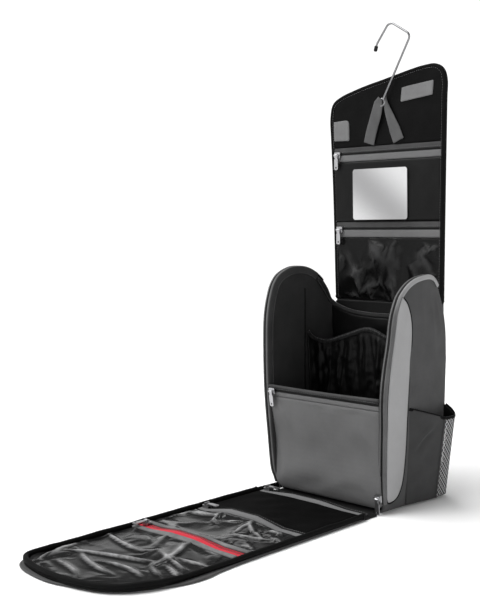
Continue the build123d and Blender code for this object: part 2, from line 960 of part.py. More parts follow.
with BuildPart() as panel_shell:
    with BuildSketch(panel_plane.offset(-panel_back)):
        add(panel_filling)
    extrude(amount=panel_shell_thickness)
    with BuildSketch(panel_plane.offset(-panel_back + panel_shell_thickness / 2)):
        add(panel_facing)
    extrude(amount=panel_back - panel_shell_thickness / 2 - cloth_gap)
save(panel_shell.part, "panel_shell")

with BuildPart() as panel_binding:
    with BuildSketch(panel_plane.offset(-panel_back)):
        add(panel_outline)
        add(panel_inner_edge, mode=Mode.SUBTRACT)
    extrude(amount=panel_back - cloth_gap)
save(panel_binding.part, "panel_binding")

save(
    panel_plate(panel_start, panel_zip_high_foot - cloth_gap, panel_inset, pocket_low, -cloth_gap), "panel_pocket"
)
high_teeth = panel_zip_high_foot + panel_zip_high_width / 2
save(
    zip_tape(
        panel_tape_plane,
        panel_half(panel_zip_high_foot) - panel_inset,
        panel_zip_high_foot,
        high_zip_top,
        panel_tape_back,
        high_teeth,
    ),
    "panel_high_zip",
)

panel_slider_planes = {}
for name, teeth, foot in (("low", low_teeth, low_zip_foot), ("high", high_teeth, panel_zip_high_foot)):
    slider_x = -panel_half(foot) + panel_inset + zip_end_margin
    where = Plane(
        origin=panel_tape_plane.from_local_coords(Vector(slider_x, teeth, 0)), x_dir=(1, 0, 0), z_dir=(0, -1, 0)
    )
    panel_slider_planes[name] = where
    save(zip_slider(where, 0), f"panel_{name}_slider")
    save(zip_puller(where, 0), f"panel_{name}_puller")

with BuildPart() as mirror_glass:
    with BuildSketch(panel_plane):
        with Locations((mirror_centre, mirror_foot + mirror_height / 2)):
            RectangleRounded(mirror_width, mirror_height, mirror_corner_radius)
    extrude(amount=mirror_thickness)
save(mirror_glass.part, "mirror")

with BuildPart() as patches:
    with BuildSketch(panel_plane):
        with Locations(wide_patch_centre):
            RectangleRounded(wide_patch_width, wide_patch_height, patch_corner_radius)
        with Locations(tall_patch_centre):
            RectangleRounded(tall_patch_width, tall_patch_height, patch_corner_radius)
    extrude(amount=patch_thickness)
save(patches.part, "grip_patches")

# Webbing in an upturned V, with a rolled eyelet at its top that the hook turns on
eyelet_radius = hook_eye_radius - hook_wire_radius - fit_gap
with BuildPart() as strap:
    with BuildSketch(panel_plane):
        for foot_x in (strap_left_foot, strap_right_foot):
            with BuildLine():
                Polyline(
                    (foot_x - strap_width / 2, strap_foot_height),
                    (foot_x + strap_width / 2, strap_foot_height),
                    (hook_eye[0] + strap_width / 2, hook_eye[1]),
                    (hook_eye[0] - strap_width / 2, hook_eye[1]),
                    close=True,
                )
            make_face()
        with Locations(hook_eye):
            Circle(strap_width / 2)
    extrude(amount=strap_thickness)
    with BuildSketch(panel_plane):
        with Locations(hook_eye):
            Circle(eyelet_radius)
    extrude(amount=hook_eye_length)
save(strap.part, "hook_strap")

hook_plane = panel_plane.offset(hook_standoff)
rise = hypot(hook_outer_bend[0] - hook_eye[0], hook_outer_bend[1] - hook_eye[1])
hook_start = tuple(hook_eye[i] + hook_eye_radius * (hook_outer_bend[i] - hook_eye[i]) / rise for i in (0, 1))
with BuildPart() as hook:
    with BuildLine(hook_plane):
        wire = FilletPolyline(
            hook_start,
            hook_outer_bend,
            hook_top_bend,
            hook_inner_bend,
            hook_end,
            radius=[hook_outer_radius, hook_top_radius, hook_inner_radius],
        )
    with BuildSketch(Plane(origin=wire @ 0, z_dir=wire % 0)):
        Circle(hook_wire_radius)
    sweep()
    with Locations(Plane(origin=hook_plane.from_local_coords(Vector(*hook_eye, 0)), z_dir=hook_plane.z_dir)):
        Torus(hook_eye_radius, hook_wire_radius)
save(hook.part, "hook")

tip_plane = Plane(origin=wire @ 1, z_dir=wire % 1)
with BuildPart() as hook_tip:
    with BuildSketch(tip_plane.offset(tip_cap - tip_length)):
        Circle(tip_radius)
    extrude(amount=tip_length)
    fillet(hook_tip.faces().sort_by(Axis(wire @ 1, wire % 1))[-1].edges(), tip_radius * 0.7)
    with BuildSketch(tip_plane.offset(tip_cap - tip_length)):
        Circle(hook_wire_radius + fit_gap)
    extrude(amount=tip_length - tip_cap + fit_gap, mode=Mode.SUBTRACT)
save(hook_tip.part, "hook_tip")
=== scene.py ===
"""The looks of a hanging toiletry bag that stands opened out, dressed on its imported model.

Sizes are in millimetres, as a bag maker would give them, and turn into metres where a mesh is made.
+Z is up, +X is the bag's right side as seen from the front, and the front flap lies towards -Y.
"""

import logging
import math
from dataclasses import dataclass, field
from enum import Enum
from itertools import takewhile

import bmesh
import bpy
import numpy as np
from mathutils import Matrix, Vector

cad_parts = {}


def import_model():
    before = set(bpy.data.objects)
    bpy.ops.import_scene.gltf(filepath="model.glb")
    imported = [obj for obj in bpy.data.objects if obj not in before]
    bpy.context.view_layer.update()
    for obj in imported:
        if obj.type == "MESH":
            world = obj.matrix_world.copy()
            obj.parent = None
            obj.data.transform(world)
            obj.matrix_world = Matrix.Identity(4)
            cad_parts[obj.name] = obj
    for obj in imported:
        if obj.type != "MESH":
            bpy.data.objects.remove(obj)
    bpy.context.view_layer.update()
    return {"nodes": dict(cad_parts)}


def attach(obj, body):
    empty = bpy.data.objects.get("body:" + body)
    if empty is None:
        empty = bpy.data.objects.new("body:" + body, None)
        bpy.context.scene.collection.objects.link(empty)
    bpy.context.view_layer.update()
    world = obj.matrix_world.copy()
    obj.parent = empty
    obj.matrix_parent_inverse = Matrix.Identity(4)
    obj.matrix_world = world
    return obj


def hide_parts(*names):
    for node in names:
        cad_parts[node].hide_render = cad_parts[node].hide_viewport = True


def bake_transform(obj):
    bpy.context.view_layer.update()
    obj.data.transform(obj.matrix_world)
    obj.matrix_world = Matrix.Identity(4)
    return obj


MM = 0.001
log = logging.getLogger("toiletry_bag")


class Side(Enum):
    """The two sides of the bag, as seen from its front."""

    LEFT = -1
    RIGHT = 1


# Finishes


def new_material(name: str) -> tuple[bpy.types.Material, bpy.types.NodeTree, bpy.types.Node]:
    """Starts a material with a principled shader.

    Args:
        name: The material's name.

    Returns:
        The material, its node tree and its shader node.
    """
    material = bpy.data.materials.new(name)
    material.use_nodes = True
    return material, material.node_tree, material.node_tree.nodes["Principled BSDF"]


def add_node(tree: bpy.types.NodeTree, kind: str, **values: object) -> bpy.types.Node:
    """Adds a node to a tree.

    Args:
        tree: The node tree.
        kind: The node's type.
        values: Attributes of the node, or values of its sockets by name with underscores for spaces.

    Returns:
        The new node.
    """
    node = tree.nodes.new(kind)
    for key, value in values.items():
        if hasattr(node, key):
            setattr(node, key, value)
        else:
            set_inputs(node, **{key: value})
    return node


def set_inputs(node: bpy.types.Node, **values: object) -> None:
    """Sets a node's sockets by name, with underscores for spaces."""
    for key, value in values.items():
        node.inputs[key.replace("_", " ")].default_value = value


def add_noise(tree: bpy.types.NodeTree, **values: float) -> bpy.types.NodeSocket:
    """Adds a noise that is fixed to the piece's own coordinates, and gives its value."""
    noise = add_node(tree, "ShaderNodeTexNoise", **values)
    tree.links.new(add_node(tree, "ShaderNodeTexCoord").outputs["Object"], noise.inputs["Vector"])
    return noise.outputs["Fac"]


def add_range(
    tree: bpy.types.NodeTree, source: bpy.types.NodeSocket, **limits: object
) -> bpy.types.NodeSocket:
    """Moves a value into another range, and gives the result."""
    node = add_node(tree, "ShaderNodeMapRange", **limits)
    tree.links.new(source, node.inputs["Value"])
    return node.outputs["Result"]


def add_bump(tree: bpy.types.NodeTree, height: bpy.types.NodeSocket, strength: float, depth: float) -> None:
    """Raises the material's surface by a height, whose depth is given in millimetres."""
    bump = add_node(tree, "ShaderNodeBump", Strength=strength, Distance=depth * MM)
    tree.links.new(height, bump.inputs["Height"])
    tree.links.new(bump.outputs["Normal"], tree.nodes["Principled BSDF"].inputs["Normal"])


def grey(level: float) -> tuple[float, float, float, float]:
    """A neutral colour of that brightness."""
    return (level, level, level * 1.01, 1.0)


@dataclass(frozen=True)
class WovenCloth:
    """A woven cloth: fine yarns, a soft sheen, and slightly uneven dye.

    Attributes:
        name: The material's name.
        colour: Base colour.
        roughness: Surface roughness.
        sheen: Strength of the cloth's sheen.
        yarn: Width of a yarn in millimetres.
        relief: Depth of the weave's relief.
        unevenness: How much the brightness varies over the cloth.
        gloss: Strength of the yarns' own gloss.
        pale: How many times lighter its colour is painted where the mesh marks it fully: a painted highlight
            where the cloth faces up to the light.
    """

    name: str
    colour: tuple[float, float, float, float]
    roughness: float = 0.8
    sheen: float = 0.03
    yarn: float = 0.7
    relief: float = 0.25
    unevenness: float = 0.2
    gloss: float = 0.12
    pale: float = 1.0

    def material(self) -> bpy.types.Material:
        """Builds the cloth's material.

        Returns:
            The material, with weave relief from the cloth's own coordinates and a mottled colour.
        """
        material, tree, shader = new_material(self.name)
        place = add_node(tree, "ShaderNodeUVMap", uv_map="cloth")
        weave = add_node(tree, "ShaderNodeMath", operation="MULTIPLY")
        scale = math.pi / (10 * self.yarn * MM) / 10
        for k, direction in enumerate(("X", "Y")):
            wave = add_node(tree, "ShaderNodeTexWave", bands_direction=direction, Scale=scale)
            tree.links.new(place.outputs["UV"], wave.inputs["Vector"])
            tree.links.new(wave.outputs["Fac"], weave.inputs[k])
        add_bump(tree, weave.outputs[0], self.relief, 0.2)
        cloud = add_noise(tree, Scale=28.0, Detail=5.0, Roughness=0.6)
        tones = {"To_Min": 1 - self.unevenness, "To_Max": 1 + self.unevenness}
        shade = add_range(tree, cloud, From_Min=0.3, From_Max=0.7, **tones)
        dye = add_node(tree, "ShaderNodeVectorMath", operation="SCALE")
        dye.inputs[0].default_value = self.colour[:3]
        # Painted highlight: where the mesh's pale value is set, the dye is made up to pale times lighter.
        if self.pale > 1:
            top_highlight_share = add_node(tree, "ShaderNodeAttribute", attribute_name="pale")
            painted_top_highlight = add_node(tree, "ShaderNodeMath", operation="MULTIPLY_ADD")
            tree.links.new(top_highlight_share.outputs["Fac"], painted_top_highlight.inputs[0])
            painted_top_highlight.inputs[1].default_value = self.pale - 1
            tree.links.new(shade, painted_top_highlight.inputs[2])
            shade = painted_top_highlight.outputs[0]
        tree.links.new(shade, dye.inputs["Scale"])
        tree.links.new(dye.outputs["Vector"], shader.inputs["Base Color"])
        set_inputs(shader, Roughness=self.roughness, Specular_IOR_Level=self.gloss)
        set_inputs(shader, Sheen_Weight=self.sheen, Sheen_Roughness=0.5)
        return material


@dataclass(frozen=True)
class ClearFilm:
    """Clear plastic film over a black lining: dark and glossy, with a painted highlight along the crests of
    its folds.

    Attributes:
        name: The material's name.
        colour: Colour of the lining seen through the film.
        painted_highlight: Colour of the painted highlight along the crests of the film's folds.
        roughness: Surface roughness of the film.
    """

    name: str
    colour: tuple[float, float, float, float]
    painted_highlight: tuple[float, float, float, float]
    roughness: float = 0.16

    def material(self) -> bpy.types.Material:
        """Builds the film's material.

        Returns:
            The material, which reads from the mesh where to paint the highlight along each crest.
        """
        material, tree, shader = new_material(self.name)
        # Painted highlight: the lining's colour is mixed towards a lighter one along the fold crests that the
        # mesh marks, broken into patches by noise.
        crease = add_node(tree, "ShaderNodeAttribute", attribute_name="painted_highlight")
        cloud = add_noise(tree, Scale=70.0, Detail=6.0, Roughness=0.65)
        broken = add_node(tree, "ShaderNodeMath", operation="MULTIPLY")
        tree.links.new(crease.outputs["Fac"], broken.inputs[0])
        patches = add_range(tree, cloud, From_Min=0.3, From_Max=0.65, To_Min=0.35, To_Max=1.15)
        tree.links.new(patches, broken.inputs[1])
        mix = add_node(tree, "ShaderNodeMix", data_type="RGBA", A=self.colour, B=self.painted_highlight)
        tree.links.new(broken.outputs[0], mix.inputs["Factor"])
        tree.links.new(mix.outputs["Result"], shader.inputs["Base Color"])
        add_bump(tree, cloud, 0.12, 0.6)
        set_inputs(shader, Roughness=self.roughness, Specular_IOR_Level=0.13)
        return material


@dataclass(frozen=True)
class PlatedMetal:
    """Bright plated metal with fine handling marks.

    Attributes:
        name: The material's name.
        colour: Colour of the plating.
        roughness: Mean roughness.
    """

    name: str
    colour: tuple[float, float, float, float]
    roughness: float = 0.22

    def material(self) -> bpy.types.Material:
        """Builds the metal's material.

        Returns:
            The material.
        """
        material, tree, shader = new_material(self.name)
        marks = add_noise(tree, Scale=900.0, Detail=3.0, Roughness=0.6)
        wear = add_range(tree, marks, To_Min=self.roughness * 0.7, To_Max=self.roughness * 1.5)
        tree.links.new(wear, shader.inputs["Roughness"])
        set_inputs(shader, Base_Color=self.colour, Metallic=1.0)
        return material


@dataclass(frozen=True)
class MirrorFilm:
    """A silvered plastic mirror with a painted reflection: its silver runs lighter and darker in soft
    diagonal stripes.

    Attributes:
        name: The material's name.
        low: Darkest silver of the painted reflection.
        high: Brightest silver of the painted reflection.
    """

    name: str
    low: tuple[float, float, float, float]
    high: tuple[float, float, float, float]

    def material(self) -> bpy.types.Material:
        """Builds the mirror's material.

        Returns:
            The material, whose silver changes in broad stripes across the mirror's diagonal, a painted
            reflection.
        """
        material, tree, shader = new_material(self.name)
        where = add_node(tree, "ShaderNodeTexCoord")
        turn = add_node(tree, "ShaderNodeMapping")
        turn.inputs["Rotation"].default_value = (0.0, math.radians(-38), 0.0)
        tree.links.new(where.outputs["Object"], turn.inputs["Vector"])
        # Painted reflection: the silver is painted lighter and darker in soft diagonal stripes, as the studio
        # would reflect in it.
        painted_reflection = add_node(tree, "ShaderNodeTexWave", bands_direction="Z", Scale=2.6, Distortion=0.4)
        painted_reflection.wave_profile = "SIN"
        painted_reflection.inputs["Phase Offset"].default_value = 1.9
        tree.links.new(turn.outputs["Vector"], painted_reflection.inputs["Vector"])
        mix = add_node(tree, "ShaderNodeMix", data_type="RGBA", A=self.low, B=self.high)
        tree.links.new(painted_reflection.outputs["Fac"], mix.inputs["Factor"])
        tree.links.new(mix.outputs["Result"], shader.inputs["Base Color"])
        set_inputs(shader, Metallic=1.0, Roughness=0.12)
        return material


@dataclass(frozen=True)
class Moulded:
    """Moulded plastic or rubber, or a spun thread, with a slight grain.

    Attributes:
        name: The material's name.
        colour: Base colour.
        roughness: Surface roughness.
        grain: Scale of the grain.
        relief: Depth of the grain's relief.
        gloss: Strength of its gloss.
    """

    name: str
    colour: tuple[float, float, float, float]
    roughness: float = 0.5
    grain: float = 1200.0
    relief: float = 0.1
    gloss: float = 0.2

    def material(self) -> bpy.types.Material:
        """Builds the plastic's material.

        Returns:
            The material.
        """
        material, tree, shader = new_material(self.name)
        add_bump(tree, add_noise(tree, Scale=self.grain, Detail=2.0), self.relief, 0.1)
        set_inputs(shader, Base_Color=self.colour, Roughness=self.roughness, Specular_IOR_Level=self.gloss)
        return material


SHELL = WovenCloth("shell_cloth", grey(0.060), roughness=0.75, unevenness=0.12)
LINING = WovenCloth("black_lining", grey(0.0045), roughness=0.62, sheen=0.015, unevenness=0.3)
SATIN = WovenCloth("satin_lining", grey(0.003), roughness=0.42, sheen=0.0, yarn=0.4, relief=0.12, gloss=0.13)
EAR_LINING = WovenCloth("padded_lining", grey(0.027), roughness=0.65, sheen=0.02, unevenness=0.15)
RIM_FACING = WovenCloth("rim_facing", grey(0.040), roughness=0.7, yarn=0.9)
# Painted shade: the side pocket's cloth is a darker copy of the shell cloth, grey(0.041) against grey(0.060).
SHADED_POCKET_CLOTH = WovenCloth("side_pocket_cloth", grey(0.041), roughness=0.75, unevenness=0.12)
PANEL_LINING = WovenCloth("panel_lining", grey(0.0035), roughness=0.7, sheen=0.0, unevenness=0.3, gloss=0.06)
BLACK = WovenCloth("deep_black_cloth", grey(0.0022), roughness=0.8, sheen=0.0, unevenness=0.3, gloss=0.03)
BINDING = WovenCloth("binding_tape", grey(0.0035), roughness=0.7, sheen=0.0, yarn=0.9, gloss=0.06)
SOFT_BINDING = WovenCloth("soft_binding", grey(0.016), roughness=0.7, sheen=0.0, yarn=0.9, gloss=0.1)
# Painted highlight: pale=2.7 paints the rim tape up to 2.7 times lighter where it runs over the top of the
# wall.
RIM_TAPE = WovenCloth("rim_tape", grey(0.098), roughness=0.7, yarn=0.9, pale=2.7)
TAPE = WovenCloth("zip_tape", grey(0.050), roughness=0.75, yarn=0.9)
DARK_TAPE = WovenCloth("dark_zip_tape", grey(0.028), roughness=0.75, yarn=0.9)
POCKET_GREY = WovenCloth("grey_pocket_cloth", grey(0.115), roughness=0.7, unevenness=0.06)
BAND_GREY = WovenCloth("grey_facing", grey(0.125), roughness=0.72, unevenness=0.08)
HEM = WovenCloth("film_hem", grey(0.13), roughness=0.6, unevenness=0.5)
PALE = WovenCloth("pale_side_panel", grey(0.30), roughness=0.75, unevenness=0.04)
RED_TAPE = WovenCloth("red_zip_tape", (0.47, 0.02, 0.036, 1.0), roughness=0.6, yarn=0.9, unevenness=0.1)
WEBBING = WovenCloth("grey_webbing", grey(0.080), roughness=0.7, yarn=1.3, relief=0.7)
PATCH = WovenCloth("hook_and_loop", grey(0.155), roughness=0.95, yarn=0.8, relief=0.9, unevenness=0.08)
# Painted highlight: the second colour of each clear film is painted along the crests of its folds.
FILM = ClearFilm("clear_film", grey(0.004), grey(0.26), roughness=0.2)
PANEL_FILM = ClearFilm("dull_clear_film", grey(0.002), grey(0.040), roughness=0.26)
COIL = Moulded("zip_coil", grey(0.006), roughness=0.5, gloss=0.12)
RED_COIL = Moulded("red_zip_coil", (0.22, 0.004, 0.012, 1.0), roughness=0.4, gloss=0.3)
THREAD = Moulded("grey_thread", grey(0.13), roughness=0.6)
NET = Moulded("pale_net", grey(0.52), roughness=0.6)
NET_THREAD = Moulded("white_thread", grey(0.75), roughness=0.6)
NET_CLOTH = WovenCloth("net_backing", grey(0.030), roughness=0.8)
RUBBER = Moulded("black_rubber", grey(0.006), roughness=0.45)
STEEL = PlatedMetal("plated_wire", (0.22, 0.22, 0.225, 1.0), roughness=0.3)
ZINC = PlatedMetal("plated_puller", (0.42, 0.42, 0.43, 1.0), roughness=0.28)
# Painted reflection: the mirror's silver is painted from grey(0.38) to grey(0.72) in diagonal stripes.
SILVER = MirrorFilm("silvered_mirror", grey(0.38), grey(0.72))


class Wardrobe:
    """Builds each finish's material once, and hands it out."""

    def __init__(self) -> None:
        """Starts with no material."""
        self.made: dict[str, bpy.types.Material] = {}

    def get(self, finish: object) -> bpy.types.Material:
        """The material of a finish, built the first time that it is asked for."""
        if finish.name not in self.made:
            self.made[finish.name] = finish.material()
        return self.made[finish.name]


WARDROBE = Wardrobe()


# Drawing boards, outlines and reliefs


@dataclass(frozen=True)
class Board:
    """A flat drawing board in space, on which a piece of cloth is cut and from which its relief rises.

    Attributes:
        origin: The board's origin in millimetres.
        across: Its first axis.
        up: Its second axis.
        out: The way that it faces.
    """

    origin: tuple[float, float, float]
    across: tuple[float, float, float]
    up: tuple[float, float, float]
    out: tuple[float, float, float]

    def place(self, x: np.ndarray, y: np.ndarray, z: np.ndarray) -> np.ndarray:
        """Points of the board in space.

        Args:
            x: Places along the first axis, in millimetres.
            y: Places along the second axis.
            z: Heights over the board.

        Returns:
            An array of points in metres, one row each.
        """
        axes = [np.array(a, float) for a in (self.across, self.up, self.out)]
        parts = [np.ravel(v)[:, None] * axis for v, axis in zip((x, y, z), axes)]
        return (np.array(self.origin, float) + parts[0] + parts[1] + parts[2]) * MM


def smooth_path(points: list[tuple[float, ...]], closed: bool, step: float = 3.0) -> np.ndarray:
    """A smooth line through points on a board or in space, by the Catmull-Rom rule.

    Args:
        points: The points, in millimetres.
        closed: True for a loop.
        step: Rough distance between the samples.

    Returns:
        The samples, one row each. A loop doesn't repeat its first.
    """
    given = np.array(points, float)
    count = len(given)
    samples = []
    for i in range(count if closed else count - 1):
        if closed:
            a, b, c, d = (given[(i + k) % count] for k in (-1, 0, 1, 2))
        else:
            b, c = given[i], given[i + 1]
            a = given[i - 1] if i else 2 * b - c
            d = given[i + 2] if i + 2 < count else 2 * c - b
        pieces = max(1, int(round(np.linalg.norm(c - b) / step)))
        bend, twist = 2 * a - 5 * b + 4 * c - d, 3 * b - a - 3 * c + d
        for t in np.arange(pieces) / pieces:
            samples.append(0.5 * (2 * b + (c - a) * t + bend * t**2 + twist * t**3))
    if not closed:
        samples.append(given[-1])
    return np.array(samples)


def rounded_corners(corners: list[tuple[float, float]], radii: list[float], step: float = 3.0) -> np.ndarray:
    """A closed outline with straight sides and rounded corners.

    Args:
        corners: The corners, in order.
        radii: A radius for each corner.
        step: Rough distance between the samples.

    Returns:
        The samples, one row each.
    """
    given = np.array(corners, float)
    count = len(given)
    samples = []
    for i in range(count):
        corner, before, after = given[i], given[i - 1], given[(i + 1) % count]
        u = (before - corner) / np.linalg.norm(before - corner)
        v = (after - corner) / np.linalg.norm(after - corner)
        half = math.acos(float(np.clip(np.dot(u, v), -1, 1))) / 2
        reach = radii[i] / math.tan(half)
        start, end = corner + u * reach, corner + v * reach
        if radii[i] <= 0:
            samples.append(corner)
        else:
            middle = corner + (u + v) / np.linalg.norm(u + v) * radii[i] / math.sin(half)
            first = math.atan2(*(start - middle)[::-1])
            turn = (math.atan2(*(end - middle)[::-1]) - first + math.pi) % (2 * math.pi) - math.pi
            pieces = max(2, int(round(abs(turn) * radii[i] / step)))
            for k in range(pieces + 1):
                angle = first + turn * k / pieces
                samples.append(middle + radii[i] * np.array([math.cos(angle), math.sin(angle)]))
        gap = given[(i + 1) % count] - corner
        pieces = int(np.linalg.norm(gap) / step)
        reach_next = 0 if radii[(i + 1) % count] <= 0 else radii[(i + 1) % count]
        for k in range(1, pieces):
            along = np.linalg.norm(gap) * k / pieces
            if along > reach + 0.5 * step and along < np.linalg.norm(gap) - 1.3 * reach_next - 0.5 * step:
                samples.append(corner + gap * k / pieces)
    return np.array(samples)


def rectangle(left: float, right: float, low: float, high: float) -> list[tuple[float, float]]:
    """The corners of a rectangle, from its lower left one round."""
    return [(left, low), (right, low), (right, high), (left, high)]


def run_along(path: np.ndarray) -> np.ndarray:
    """How far along a path each of its points lies."""
    return np.concatenate([[0], np.cumsum(np.linalg.norm(np.diff(path, axis=0), axis=1))])


def border_distance(x: np.ndarray, y: np.ndarray, outline: np.ndarray) -> np.ndarray:
    """How far points lie from an outline.

    Args:
        x: The points' first coordinates.
        y: Their second coordinates.
        outline: The closed outline's samples.

    Returns:
        The distances.
    """
    points = np.stack([x.ravel(), y.ravel()], 1)
    start, end = outline, np.roll(outline, -1, 0)
    along = end - start
    length = np.maximum((along**2).sum(1), 1e-9)
    best = np.full(len(points), 1e9)
    for s, a, l2 in zip(start, along, length):
        t = np.clip(((points - s) @ a) / l2, 0, 1)
        best = np.minimum(best, np.linalg.norm(points - s - t[:, None] * a, axis=1))
    return best.reshape(x.shape)


def inset(outline: np.ndarray, amount: float) -> np.ndarray:
    """A closed outline drawn in by so much on all sides, or let out if it is negative."""
    after, before = np.roll(outline, -1, 0), np.roll(outline, 1, 0)
    along = after - before
    normal = np.stack([-along[:, 1], along[:, 0]], 1)
    normal /= np.maximum(np.linalg.norm(normal, axis=1), 1e-9)[:, None]
    area = 0.5 * np.sum(outline[:, 0] * after[:, 1] - after[:, 0] * outline[:, 1])
    return outline + normal * amount * (1 if area > 0 else -1)


def span(outline: np.ndarray, height: float) -> tuple[float, float]:
    """The first and last place where a level line crosses an outline."""
    start, end = outline, np.roll(outline, -1, 0)
    crossing = (start[:, 1] - height) * (end[:, 1] - height) <= 0
    crossing &= np.abs(end[:, 1] - start[:, 1]) > 1e-9
    share = (height - start[crossing, 1]) / (end[crossing, 1] - start[crossing, 1])
    at = start[crossing, 0] + share * (end[crossing, 0] - start[crossing, 0])
    return float(at.min()), float(at.max())


def soft_noise(x: np.ndarray, y: np.ndarray, size: float, seed: int) -> np.ndarray:
    """Smooth noise between -1 and 1, the same for the same seed.

    Args:
        x: First coordinates, in millimetres.
        y: Second coordinates.
        size: Size of the lumps.
        seed: Which noise.

    Returns:
        The noise at each point.
    """
    dice = np.random.default_rng(seed)
    total = np.zeros(x.shape)
    for _ in range(9):
        angle, pace, phase = dice.uniform(0, math.pi), dice.uniform(0.6, 1.7), dice.uniform(0, 2 * math.pi)
        total += np.sin((x * math.cos(angle) + y * math.sin(angle)) * pace * 2 * math.pi / size + phase)
    return total / 4.0


@dataclass(frozen=True)
class Fold:
    """One crease or fold of cloth, drawn as a ridge along a line.

    Attributes:
        start: Where it begins.
        end: Where it ends.
        width: Its width.
        height: Its height, or a depth if it is negative.
        bow: How far its middle bows to its left.
    """

    start: tuple[float, float]
    end: tuple[float, float]
    width: float
    height: float
    bow: float = 0.0

    def raise_at(self, x: np.ndarray, y: np.ndarray) -> np.ndarray:
        """The fold's height at each point."""
        a, b = np.array(self.start, float), np.array(self.end, float)
        length = np.linalg.norm(b - a)
        u = (b - a) / length
        along = ((x - a[0]) * u[0] + (y - a[1]) * u[1]) / length
        aside = -(x - a[0]) * u[1] + (y - a[1]) * u[0] - self.bow * 4 * along * (1 - along)
        taper = np.clip(np.minimum(along, 1 - along) / 0.35 + 0.15, 0, 1)
        return self.height * taper * np.exp(-((aside / self.width) ** 2))


def swell_height(folds: tuple[Fold, ...], x: np.ndarray, y: np.ndarray) -> np.ndarray:
    """The height of several folds together at each point."""
    total = np.zeros(np.shape(x))
    for fold in folds:
        total = total + fold.raise_at(x, y)
    return total


@dataclass(frozen=True)
class Relief:
    """How a sheet's surface rises over its board.

    Attributes:
        level: Height of its middle.
        drop: How much lower its border lies.
        rounding: Width over which it rises from the border.
        puff: How much more its middle swells.
        lumps: Height of soft unevenness.
        lump_size: Size of that unevenness.
        gathers: Height of the small wrinkles along its seams.
        gather_pitch: Distance from one of those wrinkles to the next.
        folds: Its folds, which die away at its border.
        swell: Wide swells that it shares with its neighbours, border and all.
        seed: Which unevenness.
    """

    level: float
    drop: float = 1.5
    rounding: float = 3.0
    puff: float = 0.0
    lumps: float = 0.0
    lump_size: float = 40.0
    gathers: float = 0.0
    gather_pitch: float = 7.0
    folds: tuple[Fold, ...] = ()
    swell: tuple[Fold, ...] = ()
    seed: int = 1

    def heights(self, x: np.ndarray, y: np.ndarray, border: np.ndarray) -> np.ndarray:
        """The surface's height at each point.

        Args:
            x: First coordinates.
            y: Second coordinates.
            border: Each point's distance from the border.

        Returns:
            The heights.
        """
        rise = np.sqrt(np.clip(1 - (1 - np.clip(border / self.rounding, 0, 1)) ** 2, 0, 1))
        deep = float(border.max()) or 1.0
        swell = 1 - (1 - np.clip(border / deep, 0, 1)) ** 2
        calm = np.clip(border / 12.0, 0, 1)
        z = self.level - self.drop * (1 - rise) + self.puff * swell
        z = z + self.lumps * soft_noise(x, y, self.lump_size, self.seed) * calm
        if self.gathers:
            near = np.exp(-((border - 4) / 6.0) ** 2) * np.clip(border / 2.0, 0, 1)
            wander = 2 * soft_noise(x, y, 30, self.seed + 5)
            ripple = np.sin(2 * math.pi * (x + y) / self.gather_pitch + wander)
            patchy = np.clip(0.5 + soft_noise(x, y, 45, self.seed + 9), 0, 1)
            z = z + self.gathers * near * ripple * patchy
        for fold in self.folds:
            z = z + fold.raise_at(x, y) * calm
        return z + swell_height(self.swell, x, y)


# Meshes


def show(name: str, data: bpy.types.ID) -> bpy.types.Object:
    """Makes an object of a mesh, a light or a camera, and puts it in the scene."""
    item = bpy.data.objects.new(name, data)
    bpy.context.scene.collection.objects.link(item)
    return item


def mark(piece: bpy.types.Object, name: str, values: np.ndarray) -> None:
    """Writes a value on each vertex of a piece, for its material to read."""
    layer = piece.data.attributes.new(name, "FLOAT", "POINT")
    layer.data.foreach_set("value", values.astype(np.float32))


def make_object(
    name: str,
    points: np.ndarray,
    faces: list[tuple[int, ...]],
    finishes: list[object],
    picks: list[int] | None = None,
    uv: np.ndarray | None = None,
) -> bpy.types.Object:
    """Makes a mesh object with smooth faces.

    Args:
        name: The piece's name.
        points: Its vertices, in metres.
        faces: Its faces, as indices.
        finishes: Its finishes, in the order of its material slots.
        picks: For each face, which finish it has.
        uv: For each vertex, its place on the cloth in metres.

    Returns:
        The object.
    """
    mesh = bpy.data.meshes.new(name)
    mesh.from_pydata([tuple(p) for p in points], [], faces)
    for finish in finishes:
        mesh.materials.append(WARDROBE.get(finish))
    if picks is not None:
        mesh.polygons.foreach_set("material_index", picks)
    cloth = mesh.uv_layers.new(name="cloth")
    flat = np.array(points)[:, :2] if uv is None else uv
    loops = np.zeros(len(mesh.loops), np.int32)
    mesh.loops.foreach_get("vertex_index", loops)
    cloth.data.foreach_set("uv", flat[loops].astype(np.float32).ravel())
    mesh.polygons.foreach_set("use_smooth", [True] * len(mesh.polygons))
    work = bmesh.new()
    work.from_mesh(mesh)
    bmesh.ops.recalc_face_normals(work, faces=work.faces)
    work.to_mesh(mesh)
    work.free()
    return show(name, mesh)


def grid_faces(rows: int, columns: int, start: int = 0, closed: bool = False) -> list[tuple[int, ...]]:
    """The faces of a grid of vertices, row by row, or of a tube if its rows are closed."""
    last = columns if closed else columns - 1
    return [
        (
            start + r * columns + c,
            start + r * columns + (c + 1) % columns,
            start + (r + 1) * columns + (c + 1) % columns,
            start + (r + 1) * columns + c,
        )
        for r in range(rows - 1)
        for c in range(last)
    ]


